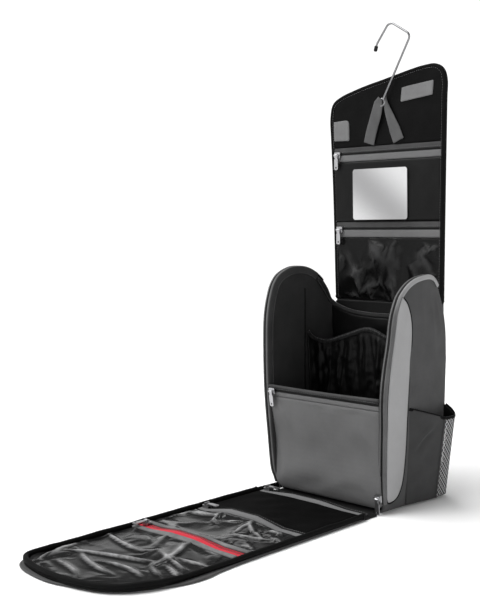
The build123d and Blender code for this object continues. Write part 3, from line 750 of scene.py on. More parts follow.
def closed_plate(
    name: str, front: np.ndarray, rear: np.ndarray, flat: np.ndarray, finishes: list[object]
) -> bpy.types.Object:
    """Joins a face and a back, both grids of points, into one closed piece.

    Args:
        name: The piece's name.
        front: The face's points, rows by columns by three, in metres.
        rear: The back's points.
        flat: For each point of the face, its place on the cloth in metres.
        finishes: The finish of the face and rim, and that of the back.

    Returns:
        The object.
    """
    rows, columns = front.shape[:2]
    total = rows * columns
    faces = grid_faces(rows, columns) + grid_faces(rows, columns, total)
    picks = [0] * ((rows - 1) * (columns - 1)) + [1] * ((rows - 1) * (columns - 1))
    loop = list(range(columns))
    loop += [r * columns + columns - 1 for r in range(1, rows)]
    loop += [(rows - 1) * columns + c for c in range(columns - 2, -1, -1)]
    loop += [r * columns for r in range(rows - 2, 0, -1)]
    for a, b in zip(loop, loop[1:] + loop[:1]):
        faces.append((a, b, b + total, a + total))
        picks.append(0)
    points = np.concatenate([front.reshape(-1, 3), rear.reshape(-1, 3)])
    uv = np.concatenate([flat.reshape(-1, 2), flat.reshape(-1, 2)])
    return make_object(name, points, faces, finishes, picks, uv)


def blurred(field_values: np.ndarray, rounds: int) -> np.ndarray:
    """A grid of values, smoothed so many times over its neighbours."""
    smooth = field_values.copy()
    for _ in range(rounds):
        wide = np.pad(smooth, 1, mode="edge")
        smooth = (wide[:-2, 1:-1] + wide[2:, 1:-1] + wide[1:-1, :-2] + wide[1:-1, 2:] + 2 * smooth) / 6
    return smooth


@dataclass(frozen=True)
class Crinkle:
    """How a loose sheet that is sewn down all round crumples, found by a cloth simulation.

    Attributes:
        slack: How much larger the sheet is cut than the frame that it is sewn to.
        pressure: How hard it is puffed out.
        bending: Its stiffness against bending.
        floor: How far below its level it may sink.
        start: Height from which the sheet is held down.
        ceiling: Height that it stays under.
        frames: Steps of the simulation.
    """

    slack: float = 0.08
    pressure: float = 0.6
    bending: float = 0.3
    floor: float = 1.5
    start: float = 9.0
    ceiling: float = 15.0
    frames: int = 26

    def settle(self, x: np.ndarray, y: np.ndarray, z: np.ndarray, border: np.ndarray) -> np.ndarray:
        """Lets the sheet crumple.

        Args:
            x: First coordinates of its grid.
            y: Second coordinates.
            z: Its heights at the start.
            border: Each point's distance from the seam.

        Returns:
            The settled coordinates, rows by columns by three, in millimetres.
        """
        start = np.stack([x, y, z], 2)
        rows, columns = x.shape
        mesh = bpy.data.meshes.new("loose_sheet")
        mesh.from_pydata([tuple(p) for p in start.reshape(-1, 3) * MM], [], grid_faces(rows, columns))
        sheet = show("loose_sheet", mesh)
        seam = sheet.vertex_groups.new(name="seam")
        seam.add([int(i) for i in np.flatnonzero(border.ravel() < 0.4)], 1.0, "REPLACE")
        cloth = sheet.modifiers.new("cloth", "CLOTH")
        cloth.settings.quality = 6
        cloth.settings.mass = 0.15
        cloth.settings.tension_stiffness = cloth.settings.compression_stiffness = 15
        cloth.settings.shear_stiffness = 5
        cloth.settings.bending_stiffness = self.bending
        cloth.settings.vertex_group_mass = "seam"
        cloth.settings.shrink_min = -self.slack
        cloth.settings.use_pressure = self.pressure > 0
        cloth.settings.uniform_pressure_force = self.pressure
        cloth.settings.effector_weights.gravity = 0.0
        cloth.collision_settings.use_collision = False
        for frame_number in range(1, self.frames + 1):
            bpy.context.scene.frame_set(frame_number)
        settled = sheet.evaluated_get(bpy.context.evaluated_depsgraph_get()).to_mesh()
        moved = np.array([v.co for v in settled.vertices]).reshape(rows, columns, 3) / MM
        bpy.data.objects.remove(sheet)
        bpy.data.meshes.remove(mesh)
        bpy.context.scene.frame_set(1)
        lift = moved[..., 2] - z
        lift = np.where(lift > 0, lift, -self.floor * (1 - np.exp(lift / self.floor)))
        over = np.clip(z + lift - self.start, 0, None)
        room = self.ceiling - self.start
        moved[..., 2] = np.minimum(z + lift, self.start) + room * (1 - np.exp(-over / room))
        return moved


@dataclass
class Plate:
    """A closed, shaped plate of cloth: a face with a relief, a back, and a rim that joins them.

    Attributes:
        name: The piece's name.
        board: The board that it is cut on.
        outline: Its outline on the board.
        face: Relief of its face.
        back: Relief of its back.
        face_finish: Finish of its face and rim.
        back_finish: Finish of its back.
        step: Size of its quads.
        by_columns: True where its rows run up the board, for an outline that sags at its top.
        crinkle: How it crumples, if it is loose.
    """

    name: str
    board: Board
    outline: np.ndarray
    face: Relief
    back: Relief
    face_finish: object
    back_finish: object
    step: float = 3.0
    by_columns: bool = False
    crinkle: Crinkle | None = None

    def grid(self) -> tuple[np.ndarray, np.ndarray, np.ndarray]:
        """The plate's grid on its board.

        Returns:
            The first and the second coordinates and the distances to the border, each rows by columns.
        """
        outline = self.outline[:, ::-1] if self.by_columns else self.outline
        low, high = float(outline[:, 1].min()), float(outline[:, 1].max())
        count = max(8, int((high - low) / self.step))
        share = np.linspace(0, 1, count + 1)
        share = 0.7 * share + 0.3 * (0.5 - 0.5 * np.cos(math.pi * share))
        levels = low + (high - low) * share
        edge = (high - low) * 1e-4
        spans = [span(outline, float(np.clip(v, low + edge, high - edge))) for v in levels]
        widest = max(b - a for a, b in spans)
        columns = max(8, int(widest / self.step))
        t = np.linspace(0, 1, columns + 1)
        t = 0.8 * t + 0.2 * (0.5 - 0.5 * np.cos(math.pi * t))
        x = np.array([a + (b - a) * t for a, b in spans])
        y = np.repeat(levels[:, None], columns + 1, 1)
        border = border_distance(x, y, outline)
        border[0, :] = border[-1, :] = 0
        border[:, 0] = border[:, -1] = 0
        return (y, x, border) if self.by_columns else (x, y, border)

    def build(self) -> bpy.types.Object:
        """Makes the plate's object.

        Returns:
            The object.
        """
        x, y, border = self.grid()
        z = self.face.heights(x, y, border)
        at = np.stack([x, y, z], 2)
        if self.crinkle:
            at = self.crinkle.settle(x, y, z, border)
        front = self.board.place(at[..., 0], at[..., 1], at[..., 2]).reshape(*x.shape, 3)
        rear = self.board.place(x, y, self.back.heights(x, y, border)).reshape(*x.shape, 3)
        finishes = [self.face_finish, self.back_finish]
        piece = closed_plate(self.name, front, rear, np.stack([x, y], 2) * MM, finishes)
        if self.crinkle:
            self.mark_painted_highlight(piece, at[..., 2])
        return piece

    def mark_painted_highlight(self, piece: bpy.types.Object, z: np.ndarray) -> None:
        """Marks on the mesh where the film gets its painted highlight: most along the crests of its folds.

        Args:
            piece: The piece.
            z: Heights of its face.
        """
        # Painted highlight: a crest is where the face stands above its smoothed height; the back gets none.
        crest = z - blurred(z, 60)
        crest = crest / max(float(np.percentile(np.abs(crest), 95)), 0.05)
        painted_highlight = np.clip(crest * 1.25 - 0.5, 0, 1) ** 1.1 + 0.02
        both = np.concatenate([painted_highlight.ravel(), np.zeros(painted_highlight.size)])
        mark(piece, "painted_highlight", both)


def path_frames(points: np.ndarray, out: np.ndarray) -> tuple[np.ndarray, np.ndarray, np.ndarray]:
    """Directions along a path: along it, aside, and out.

    Args:
        points: The path's points.
        out: The way that the path's face looks, for each point or for all.

    Returns:
        Three arrays of unit vectors.
    """
    along = np.gradient(points, axis=0)
    along /= np.maximum(np.linalg.norm(along, axis=1), 1e-12)[:, None]
    face = np.broadcast_to(out, points.shape).astype(float)
    aside = np.cross(along, face)
    aside /= np.maximum(np.linalg.norm(aside, axis=1), 1e-12)[:, None]
    return along, aside, np.cross(aside, along)


@dataclass
class Strip:
    """A strip swept along a path, such as a binding, a tape or a coil of teeth.

    Attributes:
        name: The piece's name.
        path: The path's points in space, in metres.
        out: The way that its face looks, for each point or for all.
        section: The section's points, aside and out, in millimetres, going round.
        finishes: Its finishes.
        picks: For each side of the section, which finish it has.
    """

    name: str
    path: np.ndarray
    out: np.ndarray
    section: list[tuple[float, float]]
    finishes: list[object]
    picks: list[int] = field(default_factory=list)

    def build(self) -> bpy.types.Object:
        """Makes the strip's object.

        Returns:
            The object.
        """
        _, aside, out = path_frames(self.path, self.out)
        section = np.array(self.section, float) * MM
        count, width = len(self.path), len(section)
        points = self.path[:, None, :] + section[None, :, 0, None] * aside[:, None, :]
        points = (points + section[None, :, 1, None] * out[:, None, :]).reshape(-1, 3)
        faces = grid_faces(count, width, closed=True)
        picks = (self.picks or [0] * width) * (count - 1) + [0, 0]
        faces.append(tuple(range(width)))
        faces.append(tuple(range((count - 1) * width, count * width)))
        uv = np.stack([np.repeat(run_along(self.path), width), np.tile(run_along(section), count)], 1)
        return make_object(self.name, points, faces, self.finishes, picks, uv)


def resample(path: np.ndarray, pitch: float) -> np.ndarray:
    """Points along a path, evenly spaced.

    Args:
        path: The path's points, in metres.
        pitch: The spacing, in millimetres.

    Returns:
        The new points.
    """
    run = run_along(path)
    count = max(2, int(round(run[-1] / (pitch * MM))) + 1)
    at = np.linspace(0, run[-1], count)
    return np.stack([np.interp(at, run, path[:, k]) for k in range(path.shape[1])], 1)


def spread_out(out: np.ndarray, count: int) -> np.ndarray:
    """The way that a line faces, at so many even places along it, or as it is if it faces one way."""
    if out.ndim == 1:
        return out
    far = np.linspace(0, len(out) - 1, count)
    return np.stack([np.interp(far, np.arange(len(out)), out[:, k]) for k in range(3)], 1)


@dataclass
class Coil:
    """A closed zip's coil of teeth: two rows of small arched teeth that meet along a groove.

    Attributes:
        name: The piece's name.
        path: The zip's line in space, in metres.
        out: The way that the zip faces.
        finish: The teeth's finish.
        pitch: Distance from tooth to tooth, in millimetres.
        half_width: Half the coil's width.
        height: The coil's height.
    """

    name: str
    path: np.ndarray
    out: np.ndarray
    finish: object
    pitch: float = 2.2
    half_width: float = 2.0
    height: float = 1.3

    def build(self) -> bpy.types.Object:
        """Makes the coil's object.

        Returns:
            The object.
        """
        ring = 6
        line = resample(self.path, self.pitch / ring)
        _, aside, out = path_frames(line, spread_out(self.out, len(line)))
        shares = np.array([-1.0, -0.8, -0.35, 0.0, 0.35, 0.8, 1.0])
        lift = np.array([0.0, 0.75, 1.0, 0.6, 1.0, 0.75, 0.0])
        beat = 2 * math.pi * np.arange(len(line)) / ring
        points = []
        for share, height in zip(shares, lift):
            shift = 0 if share <= 0 else math.pi
            wave = 0.72 + 0.28 * np.cos(beat + shift)
            reach = share * self.half_width * MM
            rise = height * self.height * MM * wave
            points.append(line + aside * reach + out * rise[:, None])
        grid = np.stack(points, 1).reshape(-1, 3)
        faces = grid_faces(len(line), len(shares), closed=True)
        return make_object(self.name, grid, faces, [self.finish])


@dataclass
class Stitches:
    """A row of stitches along a path: short threads that dip in and out of the cloth.

    Attributes:
        name: The piece's name.
        path: The seam's line in space, in metres.
        out: The way that the cloth faces.
        finish: The thread's finish.
        length: Length of a stitch, in millimetres.
        gap: Gap from one stitch to the next.
        radius: Radius of the thread.
    """

    name: str
    path: np.ndarray
    out: np.ndarray
    finish: object = THREAD
    length: float = 2.6
    gap: float = 1.0
    radius: float = 0.28

    def build(self) -> bpy.types.Object:
        """Makes the stitches' object.

        Returns:
            The object.
        """
        line = resample(self.path, (self.length + self.gap) / 4)
        _, aside, out = path_frames(line, spread_out(self.out, len(line)))
        sides = 5
        turn = 2 * math.pi * np.arange(sides) / sides
        points, faces = [], []
        for i in range(0, len(line) - 4, 4):
            base = len(points) * sides
            for k, (at, size) in enumerate(((i, 0.35), (i + 1, 1.0), (i + 2, 1.0), (i + 3, 0.35))):
                dip = -0.25 if k in (0, 3) else 0.15
                middle = line[at] + out[at] * dip * MM
                spokes = [aside[at] * math.cos(a) + out[at] * math.sin(a) for a in turn]
                points.append([middle + spoke * self.radius * size * MM for spoke in spokes])
            faces += grid_faces(4, sides, base, closed=True)
            faces.append(tuple(base + s for s in range(sides)))
            faces.append(tuple(base + 3 * sides + s for s in range(sides)))
        return make_object(self.name, np.array(points).reshape(-1, 3), faces, [self.finish])


def oval(half_width: float, half_height: float) -> list[tuple[float, float]]:
    """The points of an oval section, twelve round."""
    turns = [2 * math.pi * k / 12 for k in range(12)]
    return [(half_width * math.cos(turn), half_height * math.sin(turn)) for turn in turns]


# The studio


@dataclass
class Studio:
    """The pale floor, the soft lights and the camera, set up as in the photograph.

    Attributes:
        lens: Focal length in millimetres, on a sensor whose long side is 36 mm.
        camera_place: Where the camera stands, in millimetres.
        yaw: How far the camera is turned to the left, in degrees.
        pitch: How far it looks down.
        roll: How far it leans.
        broad: Strength of the broad light.
        backdrop: Brightness of the backdrop behind the bag.
        ceiling: Brightness of the studio above it.
    """

    lens: float = 61.8
    camera_place: tuple[float, float, float] = (954.8, -1161.9, 408.9)
    yaw: float = 45.71
    pitch: float = 5.14
    roll: float = -1.16
    broad: float = 3.6
    backdrop: float = 1.12
    ceiling: float = 0.16

    def camera(self) -> None:
        """Makes the camera and sets it as the scene's."""
        yaw, pitch, roll = (math.radians(v) for v in (self.yaw, self.pitch, self.roll))
        ahead = Vector((-math.sin(yaw), math.cos(yaw), 0))
        level = Vector((math.cos(yaw), math.sin(yaw), 0))
        forward = ahead * math.cos(pitch) - Vector((0, 0, 1)) * math.sin(pitch)
        upright = level.cross(forward)
        right = level * math.cos(roll) + upright * math.sin(roll)
        up = -level * math.sin(roll) + upright * math.cos(roll)
        data = bpy.data.cameras.new("camera")
        data.lens, data.sensor_width, data.sensor_fit = self.lens, 36.0, "AUTO"
        data.clip_start, data.clip_end = 0.05, 30.0
        camera = show("camera", data)
        turn = Matrix((right, up, -forward)).transposed().to_4x4()
        camera.matrix_world = Matrix.Translation(Vector(self.camera_place) * MM) @ turn
        bpy.context.scene.camera = camera

    def lights(self) -> None:
        """Makes a broad light from the upper left, a weak one from the right, one behind and the pale sky."""
        sun = bpy.data.lights.new("broad", "SUN")
        sun.energy, sun.angle = self.broad, math.radians(55)
        broad = show("broad", sun)
        broad.rotation_mode = "QUATERNION"
        broad.rotation_quaternion = Vector((0.40, 0.34, -1.0)).to_track_quat("-Z", "Y")
        for name, place, target, size, power in (
            ("key", (-0.9, -1.9, 1.5), (0, -0.1, 0.25), 1.2, 12),
            ("fill", (2.2, -0.3, 1.1), (0, -0.1, 0.25), 1.4, 8),
            ("behind", (-1.0, 0.8, 1.9), (0, -0.3, 0.1), 0.6, 8),
        ):
            data = bpy.data.lights.new(name, "AREA")
            data.size, data.energy = size, power
            lamp = show(name, data)
            lamp.location = place
            lamp.rotation_mode = "QUATERNION"
            lamp.rotation_quaternion = (Vector(target) - Vector(place)).to_track_quat("-Z", "Y")
        world = bpy.data.worlds.new("studio")
        world.use_nodes = True
        tree = world.node_tree
        axes = add_node(tree, "ShaderNodeSeparateXYZ")
        tree.links.new(add_node(tree, "ShaderNodeTexCoord").outputs["Generated"], axes.inputs[0])
        heights = {"From_Min": math.sin(math.radians(12.5)), "From_Max": math.sin(math.radians(24))}
        tones = {"To_Min": self.backdrop, "To_Max": self.ceiling}
        sky = add_range(tree, axes.outputs["Z"], interpolation_type="SMOOTHSTEP", **heights, **tones)
        tree.links.new(sky, tree.nodes["Background"].inputs["Strength"])
        set_inputs(tree.nodes["Background"], Color=(1.0, 1.0, 1.0, 1.0))
        bpy.context.scene.world = world

    def floor(self) -> None:
        """Makes the pale floor."""
        material, tree, shader = new_material("pale_floor")
        noise = add_node(tree, "ShaderNodeTexNoise", Scale=3.0)
        tone = add_range(tree, noise.outputs["Fac"], To_Min=0.90, To_Max=0.93)
        tree.links.new(tone, shader.inputs["Base Color"])
        set_inputs(shader, Roughness=0.9)
        mesh = bpy.data.meshes.new("floor")
        reach = 12.0
        corners = [(x, y, 0) for x, y in rectangle(-reach, reach, -reach, reach)]
        mesh.from_pydata(corners, [], [(0, 1, 2, 3)])
        mesh.materials.append(material)
        floor = show("floor", mesh)
        floor.location.z = -0.0002

    def build(self) -> None:
        """Sets the studio up."""
        self.camera()
        self.lights()
        self.floor()
        bpy.context.scene.view_settings.view_transform = "Standard"
        log.info("studio")


# Main sizes, shared by the sub-assemblies

LEAN = math.atan(15 / 322)
WALL_FOOT = 98.5
WALL_THICKNESS = 8.0
WALL_SLOPE = 0.0466
HEAVY_THREAD = 0.34
PANEL_FACE = 70.5


def upright_board(place: float, facing: int) -> Board:
    """An upright board at a place to the back, which faces the front for -1 and the back for 1."""
    return Board((0, place, 0), (1, 0, 0), (0, 0, 1), (0, facing, 0))


# Where each cloth's bend would start and end, in metres; join takes these and doesn't use them.
FLAP_HINGE_BEND = ((0, -0.080, 0), (0, -0.104, 0))
FLAP_CREASE_BEND = ((0, -0.395, 0), (0, -0.416, 0))
PANEL_HINGE_BEND = ((0, 0, 0.266), (0, 0, 0.280))
PANEL_CREASE_BEND = ((0, 0, 0.384), (0, 0, 0.397))

FLOOR = Board((0, 0, 0), (1, 0, 0), (0, 1, 0), (0, 0, 1))
PANEL = upright_board(PANEL_FACE, -1)


@dataclass(frozen=True)
class WallBoard(Board):
    """The board of a side wall, whose front edge splays out a little.

    Attributes:
        splay: How far the front edge splays out, at its most.
    """

    splay: float = 0.0

    def place(self, x: np.ndarray, y: np.ndarray, z: np.ndarray) -> np.ndarray:
        """Points of the splayed board in space, from places to the back, up the wall and off it."""
        heights, shares = [0, 25, 64, 120, 165, 200, 240, 270], [0.1, 0.3, 0.6, 1, 1, 0.8, 0.4, 0]
        rise = np.interp(np.ravel(y), heights, shares)
        share = np.clip((-15 - np.ravel(x)) / 62, 0, 1.1) ** 1.4
        points = super().place(x, y, z)
        points[:, 0] += np.sign(self.origin[0]) * self.splay * rise * share * MM
        return points


def wall_board(side: Side) -> WallBoard:
    """The board of a side wall's outer face: its first axis runs to the back, its second up the wall."""
    s = side.value
    return WallBoard(
        (s * WALL_FOOT, 0, 0),
        (0, 1, 0),
        (s * math.sin(LEAN), 0, math.cos(LEAN)),
        (s * math.cos(LEAN), 0, -math.sin(LEAN)),
        5.5 if side is Side.RIGHT else 0.0,
    )


def dress(piece: bpy.types.Object, body: str, slot: str, *nodes: str) -> bpy.types.Object:
    """Fastens a piece to its body and hides the solids that it replaces.

    Args:
        piece: The piece.
        body: The body that it rides on.
        slot: The record's material slot. Not used.
        nodes: The solids that it replaces.

    Returns:
        The piece.
    """
    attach(piece, body)
    if nodes:
        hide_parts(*nodes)
    log.info("%s on %s", piece.name, body)
    return piece


@dataclass
class SidePiece:
    """Something that is sewn on one side of the bag.

    Attributes:
        side: Which side.
    """

    side: Side

    @property
    def label(self) -> str:
        """The side's name."""
        return self.side.name.lower()

    @property
    def board(self) -> WallBoard:
        """The board of that side's wall."""
        return wall_board(self.side)


@dataclass
class SideWall(SidePiece):
    """One padded side wall, with its pale front panel, its bound edge and its half of the main zip.

    Attributes:
        outline: Its outline, seen from the side: places to the back and heights.
        accent: The pale panel's outline.
        zip_start: Height at which its half of the main zip starts, at the front.
        zip_end: Height at which it ends, at the back.
    """

    outline: list[tuple[float, float]]
    accent: list[tuple[float, float]]
    zip_start: float = 12.0
    zip_end: float = 303.0

    def wall(self) -> None:
        """Makes the padded wall, grey outside and black inside."""
        creases = (
            Fold((20, 300), (38, 205), 4, 1.1, 3),
            Fold((34, 292), (52, 225), 3.5, 0.9, 2),
            Fold((2, 305), (14, 240), 5, 0.9, -2),
            Fold((60, 190), (52, 150), 6, 0.8),
        )
        plate = Plate(
            f"side_wall_{self.label}_cloth",
            self.board,
            inset(smooth_path(self.outline, True), 1.4),
            Relief(-0.8, drop=1.6, rounding=5, puff=2.4, lumps=0.5, lump_size=70, folds=creases, seed=3),
            Relief(-WALL_THICKNESS, drop=-1.5, rounding=5, puff=-0.2, lumps=0.15, lump_size=60, seed=4),
            SHELL,
            EAR_LINING,
        )
        piece = dress(plate.build(), "compartment", "shell", f"side_wall_{self.label}")

    def pale_panel(self) -> None:
        """Makes the pale panel, sewn on the wall's front half."""
        plate = Plate(
            f"side_accent_{self.label}",
            self.board,
            smooth_path(self.accent, True),
            Relief(1.5, drop=2.2, rounding=3.5, puff=1.4, lumps=0.25, lump_size=90, seed=6),
            Relief(-1.2, drop=0.4),
            PALE,
            SHELL,
        )
        piece = dress(plate.build(), "compartment", "pale_cloth")
        if self.side is Side.RIGHT:
            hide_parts("side_accents")
        edge = smooth_path(self.accent, True, 2.0)
        line = self.board.place(edge[:, 0], edge[:, 1], np.full(len(edge), 0.6))
        line = np.concatenate([line, line[:2]])
        out = np.array(self.board.out)
        pipe = Strip(f"side_accent_{self.label}_piping", line, out, oval(1.0, 1.0), [BINDING])
        dress(pipe.build(), "compartment", "binding")

    def rim_path(self) -> tuple[np.ndarray, np.ndarray]:
        """The line of the bound edge, and the way that it faces.

        Returns:
            The points in metres, and the unit vectors out of the outline.
        """
        loop = smooth_path(self.outline, True, 2.0)
        loop = np.roll(loop, -int(np.argmax(loop[:, 1])), 0)
        front = list(takewhile(lambda p: p[1] >= self.zip_start, loop[::-1]))
        back = list(takewhile(lambda p: p[1] >= self.zip_end, loop))
        flat = np.array(front[::-1] + back)
        board = self.board
        line = board.place(flat[:, 0], flat[:, 1], np.full(len(flat), -3.25))
        along = np.gradient(line, axis=0)
        along /= np.linalg.norm(along, axis=1)[:, None]
        out = np.cross(along, np.array(board.out))
        middle = line.mean(0)
        if np.sum(out * (line - middle)) < 0:
            out = -out
        return line, out

    def rim(self) -> None:
        """Makes the bound edge: two tapes, the teeth between them, and the facing and cord inside."""
        line, out = self.rim_path()
        flip = -1 if np.dot(np.cross(line[5] - line[4], out[5]), np.array(self.board.out)) > 0 else 1
        section = [(-4.4, -4.2), (-4.9, -2.0), (-4.5, -0.5), (-3.4, 0.0), (-1.9, -0.1), (-1.4, -0.5)]
        section += [(1.2, -0.5), (1.6, -0.1), (2.8, 0.3), (3.9, -0.5), (4.7, -2.8), (4.9, -5.4)]
        section += [(4.1, -6.2), (2.6, -4.6)]
        section = [(-flip * a, b) for a, b in section]
        picks = [0, 1, 1, 1, 0, 0, 0, 1, 1, 1, 1, 1, 0, 0]
        strip = Strip(f"main_zip_{self.label}_tape", line, out, section, [BINDING, RIM_TAPE], picks)
        piece = strip.build()
        # Painted highlight: the tape's colour is painted lighter from 268 mm up to 308 mm high, fully on its
        # outer side and a tenth on the rest, where it faces up to the light.
        pale = np.clip((line[:, 2] / MM - 268) / 40, 0, 1)
        outer = np.array([flip * -a > 1.4 for a, _ in section], float) * 0.9 + 0.1
        mark(piece, "pale", (pale[:, None] * outer[None, :]).ravel())
        dress(piece, "compartment", "main_zip", f"main_zip_{self.label}")
        teeth = line - out * 0.5 * MM
        coil = Coil(f"main_zip_{self.label}_teeth", teeth, out, COIL, half_width=1.5, height=0.8)
        dress(coil.build(), "compartment", "main_zip")
        inward = -np.array(self.board.out, float)
        for part, below, inside, shape, finish in (
            ("facing", 6.0, 5.3, oval(5.4, 0.8), RIM_FACING),
            ("cord", 11.0, 5.5, oval(0.55, 0.9), SHELL),
        ):
            seam = (line - out * below * MM + inward * inside * MM)[:-8]
            strip = Strip(f"rim_{self.label}_{part}", seam, inward, shape, [finish])
            dress(strip.build(), "compartment", "main_zip")

    def build(self) -> None:
        """Makes the whole side wall."""
        self.wall()
        self.pale_panel()
        self.rim()


RIGHT_WALL = [
    (-58, 0.6), (-64.5, 6), (-68, 25), (-72.4, 64), (-77, 119), (-79, 160), (-73.5, 195), (-64.5, 228),
    (-57.5, 263), (-47.5, 288), (-38.5, 299), (-26, 308.5), (-10, 315), (8, 318), (22, 318), (33, 314),
    (42, 304.5), (52.5, 286), (61.5, 264), (67.6, 240), (70.8, 212), (72, 175), (72.6, 138),
    (72.6, 50), (70.5, 6), (61, 0.6),
]
LEFT_WALL = [
    (-58, 0.6), (-66, 6), (-71.5, 20), (-77, 38), (-79.5, 84), (-81.6, 134), (-81.4, 171),
    (-79.5, 211), (-76.6, 246), (-72.6, 268), (-66.5, 287), (-59.5, 302), (-49.5, 313.5), (-37, 320.6),
    (-20, 325.6), (-4, 326.6), (14, 324.6), (30, 318.8), (46, 309), (58, 297), (67, 283), (72.5, 266),
    (73.5, 240), (72.6, 190), (72.6, 138), (72.6, 50), (70.5, 6), (61, 0.6),
]
ACCENT = [
    (-59, 15), (-64, 35), (-67, 66), (-70.5, 119), (-71.5, 160), (-66.5, 196), (-58.5, 230),
    (-53.5, 255), (-49, 275), (-43, 289), (-39.5, 292), (-34, 288.5), (-26.5, 280.5), (-19, 264),
    (-15.4, 243), (-16.2, 216), (-18, 180), (-19.6, 140), (-20.6, 100), (-22, 70), (-25.5, 43),
    (-32, 25), (-43, 15.5),
]


def join(
    piece: bpy.types.Object,
    bodies: tuple[str, str],
    start: tuple[float, float, float],
    end: tuple[float, float, float],
    slot: str,
    *nodes: str,
) -> bpy.types.Object:
    """Bakes the placement of a piece that spans two bodies into its mesh and hides the solids that it
    replaces; it fastens the piece to neither body.

    Args:
        piece: The piece.
        bodies: The two bodies.
        start: Where the bend starts, in metres. Not used.
        end: Where the bend ends. Not used.
        slot: The record's material slot. Not used.
        nodes: The solids that it replaces.

    Returns:
        The piece.
    """
    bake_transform(piece)
    if nodes:
        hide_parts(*nodes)
    log.info("%s on %s and %s", piece.name, *bodies)
    return piece


def over_flap_crease(piece: bpy.types.Object, slot: str, *nodes: str) -> bpy.types.Object:
    """Hands a piece that lies over the fold of the flap's end to join, which doesn't bend it."""
    return join(piece, ("flap", "flap_end"), *FLAP_CREASE_BEND, slot, *nodes)


def over_panel_crease(piece: bpy.types.Object, slot: str, *nodes: str) -> bpy.types.Object:
    """Hands a piece that lies over the hanging panel's fold to join, which doesn't bend it."""
    return join(piece, ("panel_foot", "panel"), *PANEL_CREASE_BEND, slot, *nodes)


@dataclass
class ZipBand:
    """A zip sewn across a pocket: a facing below the teeth, a tape above them, and the coil between.

    Attributes:
        name: What the band's pieces are called.
        board: The board that it lies on.
        ends: Its left and right end.
        low: Its lower edge.
        high: Its upper edge.
        teeth: The line of its teeth.
        level: Height of its face over the board.
        body: The body that it rides on.
        slot: The record's material slot.
        node: The solid that it replaces.
        low_finish: Finish of the facing below the teeth.
        high_finish: Finish of the tape above them.
        coil_finish: Finish of the teeth.
        swell: The wide swells under it.
        stitched: True if its seams show.
        coil_width: Half the width of its teeth.
    """

    name: str
    board: Board
    ends: tuple[float, float]
    low: float
    high: float
    teeth: float
    level: float
    body: str
    slot: str
    node: str
    low_finish: object = BAND_GREY
    high_finish: object = TAPE
    coil_finish: object = COIL
    swell: tuple[Fold, ...] = ()
    stitched: bool = True
    coil_width: float = 2.0

    def tape(
        self, name: str, low: float, high: float, finish: object, seed: int, level: float
    ) -> bpy.types.Object:
        """Makes one strip of cloth between two heights."""
        plate = Plate(
            name,
            self.board,
            rounded_corners(rectangle(*self.ends, low, high), [0.6] * 4, 2.0),
            Relief(level, drop=1.1, rounding=2.2, lumps=0.2, lump_size=26, swell=self.swell, seed=seed),
            Relief(level - 1.9, swell=self.swell, drop=0),
            finish,
            finish,
            step=1.8,
        )
        return plate.build()

    def line(self, height: float, level: float) -> np.ndarray:
        """A line across the band, laid over its swells."""
        x = np.linspace(self.ends[0] + 1, self.ends[1] - 1, 90)
        y = np.full(len(x), height)
        return self.board.place(x, y, level + swell_height(self.swell, x, y))

    def build(self) -> None:
        """Makes the whole band."""
        out = np.array(self.board.out, float)
        for part, low, high, finish, seed, sink in (
            ("facing", self.low, self.teeth - 1.3, self.low_finish, 11, 0.0),
            ("tape", self.teeth + 1.3, self.high, self.high_finish, 12, 0.2),
            ("bed", self.low + 1, self.high - 1, DARK_TAPE, 13, 1.0),
        ):
            piece = self.tape(f"{self.name}_{part}", low, high, finish, seed, self.level - sink)
            dress(piece, self.body, self.slot, *([self.node] if part == "facing" else []))
        line = self.line(self.teeth, self.level - 0.7)
        coil = Coil(f"{self.name}_teeth", line, out, self.coil_finish, half_width=self.coil_width)
        dress(coil.build(), self.body, self.slot)
        if self.stitched:
            for k, height in enumerate((self.low + 1.3, self.teeth + 3.2)):
                row = Stitches(f"{self.name}_stitches_{k + 1}", self.line(height, self.level - 0.1), out)
                dress(row.build(), self.body, self.slot)


def upright_folds(
    seed: int, count: int, ends: tuple[float, float], top: float, length: float, width: float, height: float
) -> tuple[Fold, ...]:
    """Folds that hang down from a gathered edge.

    Args:
        seed: Which set of folds.
        count: How many.
        ends: Left and right end of the edge.
        top: Height of the edge.
        length: Length of the longest.
        width: Mean width.
        height: Mean height.

    Returns:
        The folds.
    """
    dice = np.random.default_rng(seed)
    folds = []
    for k in range(count):
        at = ends[0] + (ends[1] - ends[0]) * (k + dice.uniform(0.2, 0.8)) / count
        drift = dice.uniform(-14, 14)
        fall = length * dice.uniform(0.45, 1.0)
        sign = 1 if k % 2 else -1
        folds.append(
            Fold(
                (at, top + 6),
                (at + drift, top - fall),
                width * dice.uniform(0.7, 1.4),
                sign * height * dice.uniform(0.6, 1.3),
                dice.uniform(-5, 5),
            )
        )
    return tuple(folds)


